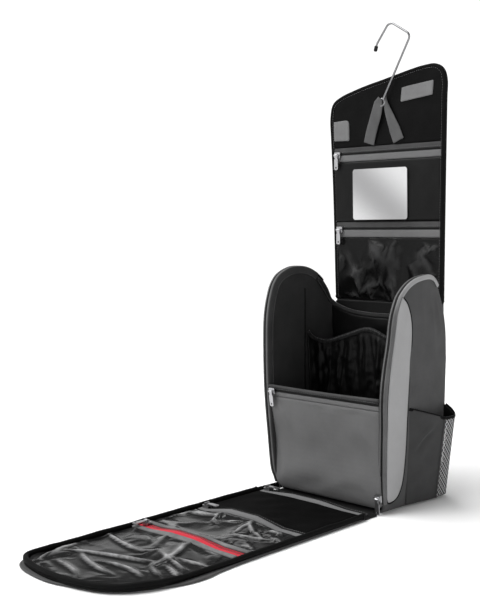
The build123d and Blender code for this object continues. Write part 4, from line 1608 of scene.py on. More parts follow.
@dataclass
class SidePocket(SidePiece):
    """The open pocket low on a side wall, with its net gusset and its bound, slanting mouth.

    Attributes:
        seam: Where its cloth is sewn to the wall, as a place to the back.
        corner: Where its cloth ends and the net starts.
        rear: Where the net turns in to the wall.
        foot: Height of its floor.
        mouth_front: Height of its mouth at the seam.
        mouth_back: Height of its mouth at the corner.
        foot_depth: How far its floor stands off the wall.
        mouth_depth: How far its mouth stands off the wall.
    """

    seam: float = -17.5
    corner: float = 40.5
    rear: float = 66.5
    foot: float = 3.6
    mouth_front: float = 138.0
    mouth_back: float = 120.0
    foot_depth: float = 9.0
    mouth_depth: float = 20.0

    def depth(self, height: np.ndarray) -> np.ndarray:
        """How far the pocket stands off the wall at a height."""
        share = np.clip((height - self.foot) / (self.mouth_back - self.foot), 0, 1.2)
        return self.foot_depth + (self.mouth_depth - self.foot_depth) * share

    def cloth(self) -> None:
        """Makes the pocket's front cloth, with a fold for its floor."""
        board = self.board
        u, v = np.meshgrid(np.linspace(0, 1, 27), np.linspace(0, 1, 50))
        y = self.seam + (self.corner - self.seam) * u
        top = self.mouth_front + (self.mouth_back - self.mouth_front) * u
        h = self.foot + (top - self.foot) * v
        n = 0.7 + (self.depth(h) - 0.7) * u**0.85
        folds = (
            Fold((-10, 80), (25, 113), 4, 2.6, 3),
            Fold((-4, 76), (28, 105), 3.5, -2.2, 3),
            Fold((6, 60), (30, 92), 6, -1.2, -2),
            Fold((-12, 40), (20, 18), 7, 1.0, 3),
            Fold((10, 120), (34, 104), 4, -0.8),
        )
        edge = np.minimum(np.minimum(u, 1 - u) * 58, np.minimum(v, 1 - v) * 120)
        calm = np.clip(edge / 8, 0, 1)
        n = n + calm * (swell_height(folds, y, h) + 0.5 * soft_noise(y, h, 34, 31))
        n = n + 1.6 * np.sin(math.pi * u) * v
        floor_y = y[:3]
        floor_h = np.full_like(floor_y, self.foot - 0.8)
        floor_n = np.stack([0.5 + 0 * u[0], 0.5 + (n[0] - 0.5) * 0.5, n[0] - 0.6])
        y, h, n = (np.concatenate(pair) for pair in ((floor_y, y), (floor_h, h), (floor_n, n)))
        inner = np.clip(n - 1.5, 0.2, None)
        shape = (*y.shape, 3)
        front = board.place(y, h, n).reshape(shape)
        rear = board.place(y * 0.99, np.maximum(h, self.foot + 0.6), inner).reshape(shape)
        flat = np.stack([y, h], 2) * MM
        # Painted shade: the pocket's face takes the darker copy of the shell cloth.
        piece = closed_plate(f"side_pocket_{self.label}_cloth", front, rear, flat, [SHADED_POCKET_CLOTH, LINING])
        dress(piece, "compartment", "pocket_cloth", f"side_pocket_{self.label}")

    def net_point(self, s: float, h: float) -> tuple[float, float, float]:
        """A point of the net, by its run from the corner round to the wall, and its height."""
        deep = float(self.depth(np.array(h)))
        flat = self.rear - self.corner
        bulge = 0.8 * math.sin(math.pi * min(s / flat, 1.0))
        if s <= flat:
            return self.corner + s, h, deep + bulge
        share = (s - flat) / (self.mouth_depth + 2)
        return self.rear + 0.6 * math.sin(math.pi * share), h, deep * (1 - share) + 0.4 * share

    def net_place(self, run: float, rise: float, inside: float) -> tuple[float, float, float]:
        """A place on the net.

        Args:
            run: Its share of the way from the corner round to the wall.
            rise: Its share of the net's height.
            inside: How far inside the net it lies.

        Returns:
            Its place to the back, its height and its distance from the wall.
        """
        total = self.rear - self.corner + self.mouth_depth + 2
        flat = (self.rear - self.corner) / total
        top = self.mouth_back + 13 * max(0.0, run - flat) / (1 - flat)
        y, h, n = self.net_point(run * total, self.foot + rise * (top - self.foot))
        return (y, h, n - inside) if run < flat else (y - inside, h, max(n - inside * (1 - rise) * 0.2, 0.2))

    def net(self) -> None:
        """Makes the net gusset as crossed strands in small diamonds, over a thin dark cloth."""
        across, upward = 2.7, 3.4
        total = self.rear - self.corner + self.mouth_depth + 2
        columns = int(total / across) // 2 * 2
        rows = int((self.mouth_back - self.foot) / upward) // 2 * 2
        work = bmesh.new()
        lattice = {}
        board = self.board
        for i in range(columns + 1):
            for j in range(rows + 1):
                lattice[i, j] = work.verts.new(board.place(*self.net_place(i / columns, j / rows, 0.0))[0])
        for i in range(columns + 1):
            for j in range(rows + 1):
                if (i + j) % 2:
                    ring = [lattice.get(k) for k in ((i - 1, j), (i, j + 1), (i + 1, j), (i, j - 1))]
                    ring = [v for v in ring if v]
                    if len(ring) > 2:
                        work.faces.new(ring)
        for vert in [v for v in work.verts if not v.link_faces]:
            work.verts.remove(vert)
        bmesh.ops.wireframe(
            work, faces=work.faces, thickness=1.0 * MM,
            use_replace=True, use_boundary=True, use_even_offset=False,
        )
        mesh = bpy.data.meshes.new(f"side_net_{self.label}")
        work.to_mesh(mesh)
        work.free()
        mesh.materials.append(WARDROBE.get(NET))
        net = show(mesh.name, mesh)
        dress(net, "compartment", "mesh")
        if self.side is Side.RIGHT:
            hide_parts("side_meshes")
        run, rise = np.meshgrid(np.linspace(0, 1, 34), np.linspace(0, 1, 40))
        sheets = []
        for inside in (0.9, 1.5):
            places = [self.net_place(float(s), float(r), inside) for s, r in zip(run.ravel(), rise.ravel())]
            y, h, n = np.array(places).T
            sheets.append(board.place(y, h, n).reshape(*run.shape, 3))
        flat = np.stack([run, rise], 2) * 0.1
        backing = closed_plate(f"side_net_{self.label}_backing", *sheets, flat, [NET_CLOTH, LINING])
        dress(backing, "compartment", "mesh")

    def trims(self) -> None:
        """Makes the bound mouth and the piping down the pocket's corner."""
        board = self.board
        mouth = [(self.seam, self.mouth_front, 1.2), (8, 130.6, 9.6), (30, 123.6, 16.8)]
        mouth += [(self.corner, self.mouth_back, 20.2), (55, self.mouth_back - 0.5, 20.8)]
        mouth += [(self.rear - 2, self.mouth_back, 20)]
        mouth += [(self.rear + 1.4, self.mouth_back + 6, 13), (self.rear + 0.6, self.mouth_back + 13, 2.4)]
        flat = smooth_path(mouth, False, 2.0)
        line = board.place(flat[:, 0], flat[:, 1] - 0.8, flat[:, 2])
        up, out = np.array(board.up, float), np.array(board.out, float)
        seam = line + up * 2.0 * MM
        row = Stitches(f"side_mouth_{self.label}_stitches", seam, out + 0.4 * up, radius=HEAVY_THREAD)
        dress(row.build(), "compartment", "binding")
        trim = Strip(f"side_mouth_{self.label}_binding", line, up, oval(1.0, 2.3), [BINDING])
        piece = dress(trim.build(), "compartment", "binding")
        if self.side is Side.RIGHT:
            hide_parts("side_pocket_trims")
        h = np.linspace(self.foot, self.mouth_back - 2, 40)
        corner = board.place(np.full(40, self.corner), h, self.depth(h) + 0.4)
        pipe = Strip(f"side_corner_{self.label}_piping", corner, out, oval(1.3, 1.3), [SHELL])
        dress(pipe.build(), "compartment", "pocket_cloth")
        turns = np.arange(self.foot + 52, self.mouth_back - 2, 4.2)
        zigzag = self.corner + 3.0 + 2.0 * (-1.0) ** np.arange(len(turns))
        along = board.place(zigzag, turns, self.depth(turns) + 1.3)
        row = Stitches(f"side_corner_{self.label}_stitches", along, out, NET_THREAD, gap=0.3, radius=0.6)
        dress(row.build(), "compartment", "mesh")

    def build(self) -> None:
        """Makes the whole pocket."""
        self.cloth()
        self.net()
        self.trims()


def half_inside(height: float) -> float:
    """Half the clear width between the side walls at a height."""
    return 90.49 + height * WALL_SLOPE - 0.3


@dataclass
class Front:
    """The low front wall with its grey zipped pocket.

    Attributes:
        lean: How far it leans out, as a slope.
        pocket_foot: Height of the pocket's lower edge.
        pocket_head: Height of its upper edge.
        head: Height of the wall's upper edge.
        teeth: Height of the zip's teeth.
    """

    lean: float = math.atan(19 / 150)
    pocket_foot: float = 6.0
    pocket_head: float = 142.0
    head: float = 156.0
    teeth: float = 150.5

    def board(self) -> Board:
        """The board of the front wall."""
        rise, run = math.cos(self.lean), math.sin(self.lean)
        return Board((0, -68.5, 0), (1, 0, 0), (0, -run, rise), (0, -rise, -run))

    def lining(self) -> None:
        """Makes the wall's own cloth, behind the pocket."""
        low, high = 5.0, self.head
        corners = [(-half_inside(low), low), (half_inside(low), low)]
        corners += [(half_inside(high), high), (-half_inside(high), high)]
        plate = Plate(
            "front_wall_cloth",
            self.board(),
            rounded_corners(corners, [6, 6, 2, 2]),
            Relief(-9.4, drop=1, lumps=0.6, gathers=0.6, seed=21),
            Relief(-13.0, lumps=0.6, seed=22, drop=0),
            LINING,
            LINING,
        )
        dress(plate.build(), "compartment", "lining", "front_wall")

    def pocket(self) -> None:
        """Makes the grey pocket cloth, a little full and gathered along its foot."""
        low, high = self.pocket_foot, self.pocket_head
        left, right = -half_inside(low) - 3.5, half_inside(low) + 6.5
        corners = [(left, low), (right, low), (half_inside(high) + 5.5, high), (-half_inside(high), high)]
        folds = (
            Fold((-84, 128), (-60, 96), 7, 1.0, 4),
            Fold((-88, 70), (-80, 30), 5, -1.0, 2),
            Fold((-50, 24), (10, 34), 9, -1.2, -4),
            Fold((20, 22), (76, 28), 8, -1.0, 3),
            Fold((62, 132), (86, 92), 8, 0.9, -3),
            Fold((-20, 130), (30, 112), 16, 0.8, 6),
        )
        plate = Plate(
            "front_pocket_cloth",
            self.board(),
            rounded_corners(corners, [14, 10, 1, 1]),
            Relief(
                -6.6, drop=1.6, rounding=6, puff=2.0, lumps=0.8, lump_size=60, gathers=0.9, gather_pitch=6,
                folds=folds, swell=(Fold((-190, 26), (190, 26), 32, 9.5),), seed=23,
            ),
            Relief(-9.2, drop=0),
            POCKET_GREY,
            LINING,
            step=2.2,
        )
        dress(plate.build(), "compartment", "grey_cloth", "front_pocket")

    def zip(self) -> None:
        """Makes the pocket's zip and the bound edge over it."""
        reach = half_inside(self.pocket_head)
        ZipBand(
            "front_zip", self.board(), (-reach, reach + 5.5), self.pocket_head + 0.3, 155.3, self.teeth, -7.3,
            "compartment", "band", "front_zip", high_finish=DARK_TAPE, low_finish=BAND_GREY, coil_width=1.2,
        ).build()
        x = np.linspace(-half_inside(157), half_inside(157) + 5.0, 70)
        y = np.full(70, 156.6) - 1.2 * np.cos(x / 97 * math.pi / 2)
        line = self.board().place(x, y, np.full(70, -9.6))
        edge = Strip("front_edge_binding", line, np.array(self.board().up), oval(3.0, 2.2), [RIM_FACING])
        dress(edge.build(), "compartment", "lining")

    def build(self) -> None:
        """Makes the whole front."""
        self.lining()
        self.pocket()
        self.zip()


@dataclass
class BackAndInside:
    """The back wall, the base, the lining with its sagging bound edge, and the elastic pocket."""

    def back_wall(self) -> None:
        """Makes the outer cloth of the back."""
        corners = [(-94.5, 0.4), (94.5, 0.4), (104, 204), (99.5, 250)]
        corners += [(95.5, 271.4), (-95.5, 271.4), (-99.5, 250), (-104, 204)]
        folds = (Fold((-80, 262), (80, 262), 12, -1.2), Fold((-90, 20), (90, 24), 14, 0.8, 4))
        plate = Plate(
            "back_wall_cloth",
            upright_board(69.4, 1),
            rounded_corners(corners, [6, 6, 20, 20, 4, 4, 20, 20]),
            Relief(3.0, drop=1.6, rounding=5, puff=1.6, lumps=0.5, lump_size=80, folds=folds, seed=41),
            Relief(0.1, drop=0),
            SHELL,
            LINING,
        )
        dress(plate.build(), "compartment", "shell", "back_wall")
        for side in Side:
            h = np.linspace(2, 262, 100)
            x = side.value * np.interp(h, [0, 196, 216, 250, 262], [93.0, 102.0, 101.3, 98.2, 96.4])
            line = np.stack([x, np.full(100, 72.0), h], 1) * MM
            name = f"back_edge_{side.name.lower()}_piping"
            pipe = Strip(name, line, np.array([0, 1.0, 0]), oval(1.9, 2.1), [BINDING])
            dress(pipe.build(), "compartment", "binding")

    def base(self) -> None:
        """Makes the cloth of the base."""
        corners = rectangle(-90.4, 90.4, -81, 69.2)
        plate = Plate(
            "base_cloth",
            FLOOR,
            rounded_corners(corners, [1, 1, 4, 4]),
            Relief(2.5, drop=0.4, lumps=0.1, seed=43),
            Relief(0.0, drop=-0.3),
            LINING,
            SHELL,
        )
        dress(plate.build(), "compartment", "shell", "base_panel")

    def saddle(self, x: np.ndarray) -> np.ndarray:
        """Height of the lining's sagging edge."""
        places = [-103, -96, -90, -76.5, -63, -49.6, -36, -17, 7, 40, 63, 76.5, 90, 96, 103]
        heights = [267.5, 265.2, 263.0, 258.2, 255.0, 253.2, 252.2, 251.6]
        heights += [251.6, 252.4, 255.0, 258.2, 263.0, 265.2, 267.5]
        return np.interp(x, places, heights)

    def back_lining(self) -> None:
        """Makes the padded lining of the back, and the binding on its sagging edge."""
        x = np.linspace(-101.5, 101.5, 60)
        top = [(float(a), float(b)) for a, b in zip(x[::-1], self.saddle(x[::-1]) - 3)]
        foot = [(float(a), 5.8) for a in np.linspace(-90, 90, 30)]
        plate = Plate(
            "back_lining_cloth",
            upright_board(69.2, -1),
            np.array(foot + top),
            Relief(4.4, drop=1.5, puff=0.8, lumps=0.6, lump_size=50, seed=45),
            Relief(0.2, drop=0),
            SATIN,
            LINING,
            by_columns=True,
        )
        dress(plate.build(), "compartment", "lining", "back_lining")
        corner = [(-101, 35, 304), (-101, 48, 289), (-101, 57.5, 277)]
        corner += [(-100.5, 63.5, 270), (-96, 66.2, 265.5)]
        across = [(float(a), 66.6, float(b)) for a, b in zip(x[3:-3:3], self.saddle(x[3:-3:3]))]
        rest = [(-a, b, c) for a, b, c in corner[::-1]]
        line = smooth_path(corner + across + rest, False)
        turn = np.clip(-line[:, 0] / 60, -1, 1) * 0.8
        facing = np.stack([turn, np.full(len(line), -1.0), np.full(len(line), 0.5)], 1)
        tape = Strip("saddle_binding_tape", line * MM, facing, oval(3.3, 1.5), [SOFT_BINDING])
        dress(tape.build(), "compartment", "binding", "saddle_binding")
        out = facing / np.linalg.norm(facing, axis=1)[:, None]
        for name, lift in (("high", 2.6), ("low", -2.4)):
            seam = (line + out * 1.3 + np.array([0, 0, lift])) * MM
            row = Stitches(f"saddle_{name}_stitches", seam, out, THREAD, radius=HEAVY_THREAD)
            dress(row.build(), "compartment", "binding")

    def elastic_rim(self) -> tuple[np.ndarray, np.ndarray]:
        """The elastic band's line, from the seam on the left wall round the back to that on the right.

        Returns:
            The line's points in millimetres, and the unit vectors into the bag.
        """
        given = [
            (-98, 6, 231), (-97.5, 15, 222), (-95, 28, 215.5), (-88, 40, 213), (-76, 44.5, 216),
            (-60, 45.2, 221), (-42, 45.2, 227), (-26, 45.2, 232.5), (-11, 45.2, 234.6),
            (3, 45.2, 231.5), (19, 45.2, 225), (40, 45.2, 219), (62, 45.2, 216), (80, 43.5, 215.5),
            (92, 34, 217), (97.5, 18, 222), (98, 6, 231),
        ]
        line = smooth_path(given, False, 2.0)
        _, _, inward = path_frames(line * np.array([1, 1, 0]), np.array([0, -1.0, 0]))
        return line, inward

    def elastic_pocket(self) -> None:
        """Makes the gathered pocket round the inside of the back, and its elastic."""
        line, inward = self.elastic_rim()
        run = run_along(line[:, :2])
        count = 190
        at = np.linspace(0, run[-1], count)
        rim = np.stack([np.interp(at, run, line[:, k]) for k in range(3)], 1)
        into = np.stack([np.interp(at, run, inward[:, k]) for k in range(3)], 1)
        rows = 84
        share = np.linspace(0, 1, rows)[:, None]
        top = rim[None, :, 2] - 3.0
        height = 5.8 + (top - 5.8) * share
        narrow = (half_inside(0) + height * WALL_SLOPE - 1.2) / 99.6
        folds = upright_folds(7, 40, (2, float(run[-1]) - 2), 218, 110, 3.6, 2.3)
        folds += upright_folds(8, 22, (2, float(run[-1]) - 2), 150, 80, 6.0, 2.0)
        flat_x = np.broadcast_to(at[None, :], height.shape)
        deep = 2.2 + 2.6 * np.sin(math.pi * share) + 0.8 * swell_height(folds, flat_x, height)
        deep = deep + 0.9 * soft_noise(flat_x, height, 34, 47) + 0.35 * soft_noise(flat_x, height, 15, 48)
        from_ends = np.clip((at[-1] / 2 - np.abs(at - at[-1] / 2)) / 8, 0, 1)
        tied = from_ends[None, :] * np.clip((1 - share) * 24, 0.3, 1)
        deep = np.clip(deep * tied, 0.1, 9)
        grids = []
        for lift in (deep, deep - 1.3):
            x = rim[None, :, 0] * narrow + into[None, :, 0] * lift
            y = rim[None, :, 1] + into[None, :, 1] * lift
            grids.append(np.stack([x, y, height], 2) * MM)
        flat = np.stack([flat_x, height], 2) * MM
        piece = closed_plate("elastic_pocket_cloth", grids[0], grids[1], flat, [SATIN, LINING])
        dress(piece, "compartment", "lining", "elastic_pocket")
        ripple = 0.5 * np.sin(run * 0.8)[:, None] * inward
        middle = (line + ripple + np.array([0, 0, -2.6]) + inward * 1.2) * MM
        band = Strip("elastic_band_cloth", middle, inward, oval(3.7, 1.7), [SOFT_BINDING])
        dress(band.build(), "compartment", "binding", "elastic_band")
        seam = middle + (inward * 1.6 + np.array([0, 0, 1.6])) * MM
        row = Stitches("elastic_stitches", seam, inward, radius=HEAVY_THREAD)
        dress(row.build(), "compartment", "binding")

    def inner_seams(self) -> None:
        """Makes the corded seams up the inner faces of the side walls, where the elastic pocket is sewn."""
        for side in Side:
            h = np.linspace(6, 292, 80)
            y = np.interp(h, [0, 156, 187, 233, 290], [-6, -2.0, 0.3, 3.7, 7.8])
            line = np.stack([side.value * (half_inside(0) + h * WALL_SLOPE + 0.4), y, h], 1) * MM
            out = np.array([-side.value, 0, 0.0])
            seam = Strip(f"inner_seam_{side.name.lower()}", line, out, oval(1.1, 1.2), [BINDING])
            dress(seam.build(), "compartment", "lining")

    def build(self) -> None:
        """Makes the back and the inside."""
        self.back_wall()
        self.base()
        self.back_lining()
        self.elastic_pocket()
        self.inner_seams()


@dataclass
class Flap:
    """The front flap on the ground: outer cloth, bound lining, one black and two clear pockets, three zips.

    Attributes:
        half: Half its width between the seams of its pockets.
        swell: The wide swells where its zips stand up from the ground.
    """

    half: float = 94.0
    swell: tuple[Fold, ...] = (
        Fold((-74, -100), (56, -99), 11, 4.0),
        Fold((-72, -219), (50, -219), 15, 8.0),
        Fold((-56, -326), (50, -326), 14, 5.0),
    )

    def top_outline(self) -> list[tuple[float, float]]:
        """The outline of the bound lining, from its left end at the hinge round to its right."""
        return [
            (-102.4, -104), (-102.4, -180), (-102.2, -260), (-101.6, -340), (-101, -405), (-101, -440),
            (-100.5, -468), (-102, -488), (-96, -502), (-76, -513.5), (-32, -520.5), (4, -519), (32, -513.5),
            (58, -503), (80, -483), (93.5, -456), (98, -428), (98.6, -400), (98.6, -340), (98.6, -260),
            (98.6, -180), (98.6, -104),
        ]

    def shell_outline(self) -> list[tuple[float, float]]:
        """The outline of the outer cloth, which shows beyond the lining along the right side."""
        return [
            (-101.8, -104), (-102, -200), (-101.5, -320), (-101, -420), (-101, -468), (-102, -492),
            (-93, -510), (-70, -520.5), (-32, -524), (-4, -521), (31, -508), (62, -488), (88, -458),
            (103, -427), (107, -396), (103, -368), (100, -320), (99, -260), (98.5, -180), (98, -104),
        ]

    def shell(self) -> None:
        """Makes the outer cloth and its rolled edge."""
        outline = smooth_path(self.shell_outline(), False, 4.0)
        plate = Plate(
            "flap_outer_cloth",
            FLOOR,
            outline,
            Relief(2.8, drop=1.0, rounding=3),
            Relief(0.1, drop=-0.6, rounding=3),
            SHELL,
            SHELL,
            step=5.0,
        )
        over_flap_crease(plate.build(), "shell", "flap_shell", "flap_end_shell")
        edge = inset(outline, 1.2)[2:-2]
        line = FLOOR.place(edge[:, 0], edge[:, 1], np.full(len(edge), 1.7))
        roll = Strip("flap_outer_edge", line, np.array([0, 0, 1.0]), oval(1.7, 1.5), [SHELL])
        over_flap_crease(roll.build(), "shell")

    def lining(self) -> None:
        """Makes the black lining, its binding and the binding's seam."""
        outline = smooth_path(self.top_outline(), False, 3.0)
        plate = Plate(
            "flap_lining_cloth",
            FLOOR,
            inset(outline, 1.6),
            Relief(4.9, drop=0.6),
            Relief(3.1, drop=0),
            LINING,
            LINING,
            step=4.0,
        )
        over_flap_crease(plate.build(), "lining")
        edge = inset(outline, 2.6)
        wave = 0.5 * soft_noise(edge[:, 0], edge[:, 1], 60, 51)
        wave += 2.6 * np.clip((-400 - edge[:, 1]) / 60, 0, 1)
        wave += 2.6 * np.clip((-edge[:, 0] - 80) / 15, 0, 1) * np.clip((edge[:, 1] + 450) / 40, 0, 1)
        line = FLOOR.place(edge[:, 0], edge[:, 1], 6.2 + wave)
        section = [(-2.9, -2.6), (-3.2, 0.2), (-2.5, 2.4), (-0.6, 3.1)]
        section += [(1.6, 2.8), (3.0, 1.6), (3.2, -0.8), (2.6, -2.7)]
        binding = Strip("flap_edge_binding", line, np.array([0, 0, 1.0]), section, [BINDING])
        over_flap_crease(binding.build(), "binding", "flap_binding", "flap_end_binding")
        low = FLOOR.place(edge[:, 0], edge[:, 1], np.full(len(edge), 4.8))
        core = Strip("flap_edge_core", low, np.array([0, 0, 1.0]), oval(2.5, 2.7), [BINDING])
        over_flap_crease(core.build(), "binding")
        seam = inset(outline, 4.3)
        row_line = FLOOR.place(seam[:, 0], seam[:, 1], 8.3 + wave)
        row = Stitches("flap_edge_stitches", row_line, np.array([0, 0, 1.0]), THREAD)
        over_flap_crease(row.build(), "binding")

    def hinge(self) -> None:
        """Makes the strip of cloth that joins the flap to the base."""
        corners = rectangle(-100, 97.5, -106, -78)
        plate = Plate(
            "flap_hinge_cloth",
            FLOOR,
            rounded_corners(corners, [0.5] * 4, 2.0),
            Relief(4.0, drop=1.0, rounding=3, lumps=0.3, seed=53),
            Relief(0.2, drop=0),
            LINING,
            SHELL,
            step=2.4,
        )
        join(plate.build(), ("compartment", "flap"), *FLAP_HINGE_BEND, "lining")
        line = FLOOR.place(np.linspace(-99.5, -97.5, 20), np.linspace(-107, -60, 20), np.full(20, 6.4))
        edge = Strip("flap_hinge_edge", line, np.array([0, 0, 1.0]), oval(3.2, 4.6), [BINDING])
        join(edge.build(), ("compartment", "flap"), *FLAP_HINGE_BEND, "binding")

    def black_pocket(self) -> None:
        """Makes the black pocket between the first two zips."""
        corners = rectangle(-self.half, self.half, -212.2, -108.2)
        folds = (Fold((-70, -140), (40, -150), 14, 1.0, 6), Fold((-30, -190), (80, -180), 12, -0.8, -5))
        plate = Plate(
            "flap_pocket_1_cloth",
            FLOOR,
            rounded_corners(corners, [1] * 4),
            Relief(
                8.3, drop=1.6, rounding=4, lumps=0.5, lump_size=50, folds=folds, swell=self.swell, seed=55
            ),
            Relief(4.6, drop=0),
            BLACK,
            LINING,
        )
        dress(plate.build(), "flap", "lining", "flap_pocket_1")

    def middle_film(self) -> None:
        """Makes the clear pocket between the second and third zips."""
        corners = rectangle(-self.half, self.half, -318.2, -227.8)
        folds = (
            Fold((-110, -300), (90, -302), 10, 3.4, -14),
            Fold((-92, -280), (-84, -232), 3.6, 2.2),
            Fold((-88, -252), (-48, -248), 3.4, 2.2, 3),
            Fold((-92, -236), (-40, -240), 3.2, 2.4, -5),
            Fold((-46, -232), (-24, -262), 3.2, 2.6, -3),
            Fold((-18, -252), (8, -232), 3.0, 2.2, 2),
            Fold((30, -276), (18, -236), 3.4, 3.0, 3),
            Fold((16, -238), (70, -268), 3.4, 3.2, -4),
            Fold((76, -266), (34, -284), 4.0, 3.0, 3),
            Fold((52, -240), (78, -236), 6.5, 3.6, 0),
            Fold((40, -262), (50, -256), 9, -2.6),
        )
        plate = Plate(
            "flap_pocket_2_film",
            FLOOR,
            rounded_corners(corners, [1] * 4),
            Relief(7.0, drop=0.8, rounding=3, puff=0.8, folds=folds, swell=self.swell, seed=57),
            Relief(4.6, drop=0),
            FILM,
            LINING,
            step=1.8,
            crinkle=Crinkle(slack=0.022, pressure=0.05),
        )
        dress(plate.build(), "flap", "clear", "flap_pocket_2")

    def end_film(self) -> None:
        """Makes the clear pocket from the red zip to the flap's rounded end."""
        border = [
            (-93.8, -333.8), (-93.8, -360), (-93.2, -400), (-93.5, -440), (-95.5, -470), (-96, -486),
            (-90.5, -497.5), (-73, -507.5), (-32, -514.8), (4, -513.5), (30, -508), (54, -498), (75, -478.8),
            (88.3, -453), (93, -427), (93.6, -400), (93.8, -360), (93.8, -333.8),
        ]
        folds = (
            Fold((-120, -340), (120, -342), 7, 2.2),
            Fold((-78, -476), (-94, -398), 7, 3.0, 4),
            Fold((-98, -378), (-2, -400), 4.0, 3.4, -3),
            Fold((-84, -464), (48, -414), 4.2, 3.6, 7),
            Fold((44, -424), (18, -350), 4.4, 3.4, -7),
            Fold((8, -384), (84, -404), 3.6, 3.0, -3),
            Fold((32, -398), (92, -380), 3.4, 2.8, 3),
            Fold((36, -418), (78, -438), 3.2, 2.8, -3),
            Fold((56, -414), (92, -428), 3.2, 2.6, 2),
            Fold((-14, -456), (70, -456), 3.6, 3.2, 9),
            Fold((-64, -444), (40, -470), 4.0, 3.0, -9),
            Fold((-60, -486), (10, -500), 4.0, 2.2, 5),
            Fold((-60, -352), (-20, -372), 4.0, 1.8, 3),
            Fold((-70, -498), (-84, -470), 3.4, 2.0, 2),
        )
        plate = Plate(
            "flap_end_film",
            FLOOR,
            smooth_path(border, False, 4.0),
            Relief(7.0, drop=0.8, rounding=3, puff=1.2, folds=folds, swell=self.swell, seed=59),
            Relief(4.6, drop=0),
            FILM,
            LINING,
            step=2.0,
            crinkle=Crinkle(slack=0.022, pressure=0.05),
        )
        over_flap_crease(plate.build(), "clear", "flap_pocket_3", "flap_end_pocket")

    def zips(self) -> None:
        """Makes the three zips across the flap."""
        reach = (-self.half, self.half)
        for name, low, high, teeth in (
            ("flap_zip_1", -107.9, -92.9, -97.7),
            ("flap_zip_2", -227.5, -212.5, -217.3),
        ):
            ZipBand(name, FLOOR, reach, low, high, teeth, 7.4, "flap", "band", name, swell=self.swell).build()
        ZipBand(
            "red_zip", FLOOR, reach, -333.5, -318.5, -323.3, 7.4, "flap", "red", "red_zip",
            RED_TAPE, RED_TAPE, RED_COIL, self.swell, False,
        ).build()
        for name, low, high in (("red_hem_low", -341.6, -333.9), ("red_hem_high", -318.1, -311.0)):
            plate = Plate(
                name,
                FLOOR,
                rounded_corners(rectangle(*reach, low, high), [0.6] * 4, 2.0),
                Relief(9.4, drop=0.9, rounding=2, lumps=0.9, lump_size=16, swell=self.swell, seed=73),
                Relief(6.0, swell=self.swell, drop=0),
                HEM,
                HEM,
                step=1.6,
            )
            dress(plate.build(), "flap", "clear")

    def build(self) -> None:
        """Makes the whole flap."""
        self.shell()
        self.lining()
        self.hinge()
        self.black_pocket()
        self.middle_film()
        self.end_film()
        self.zips()


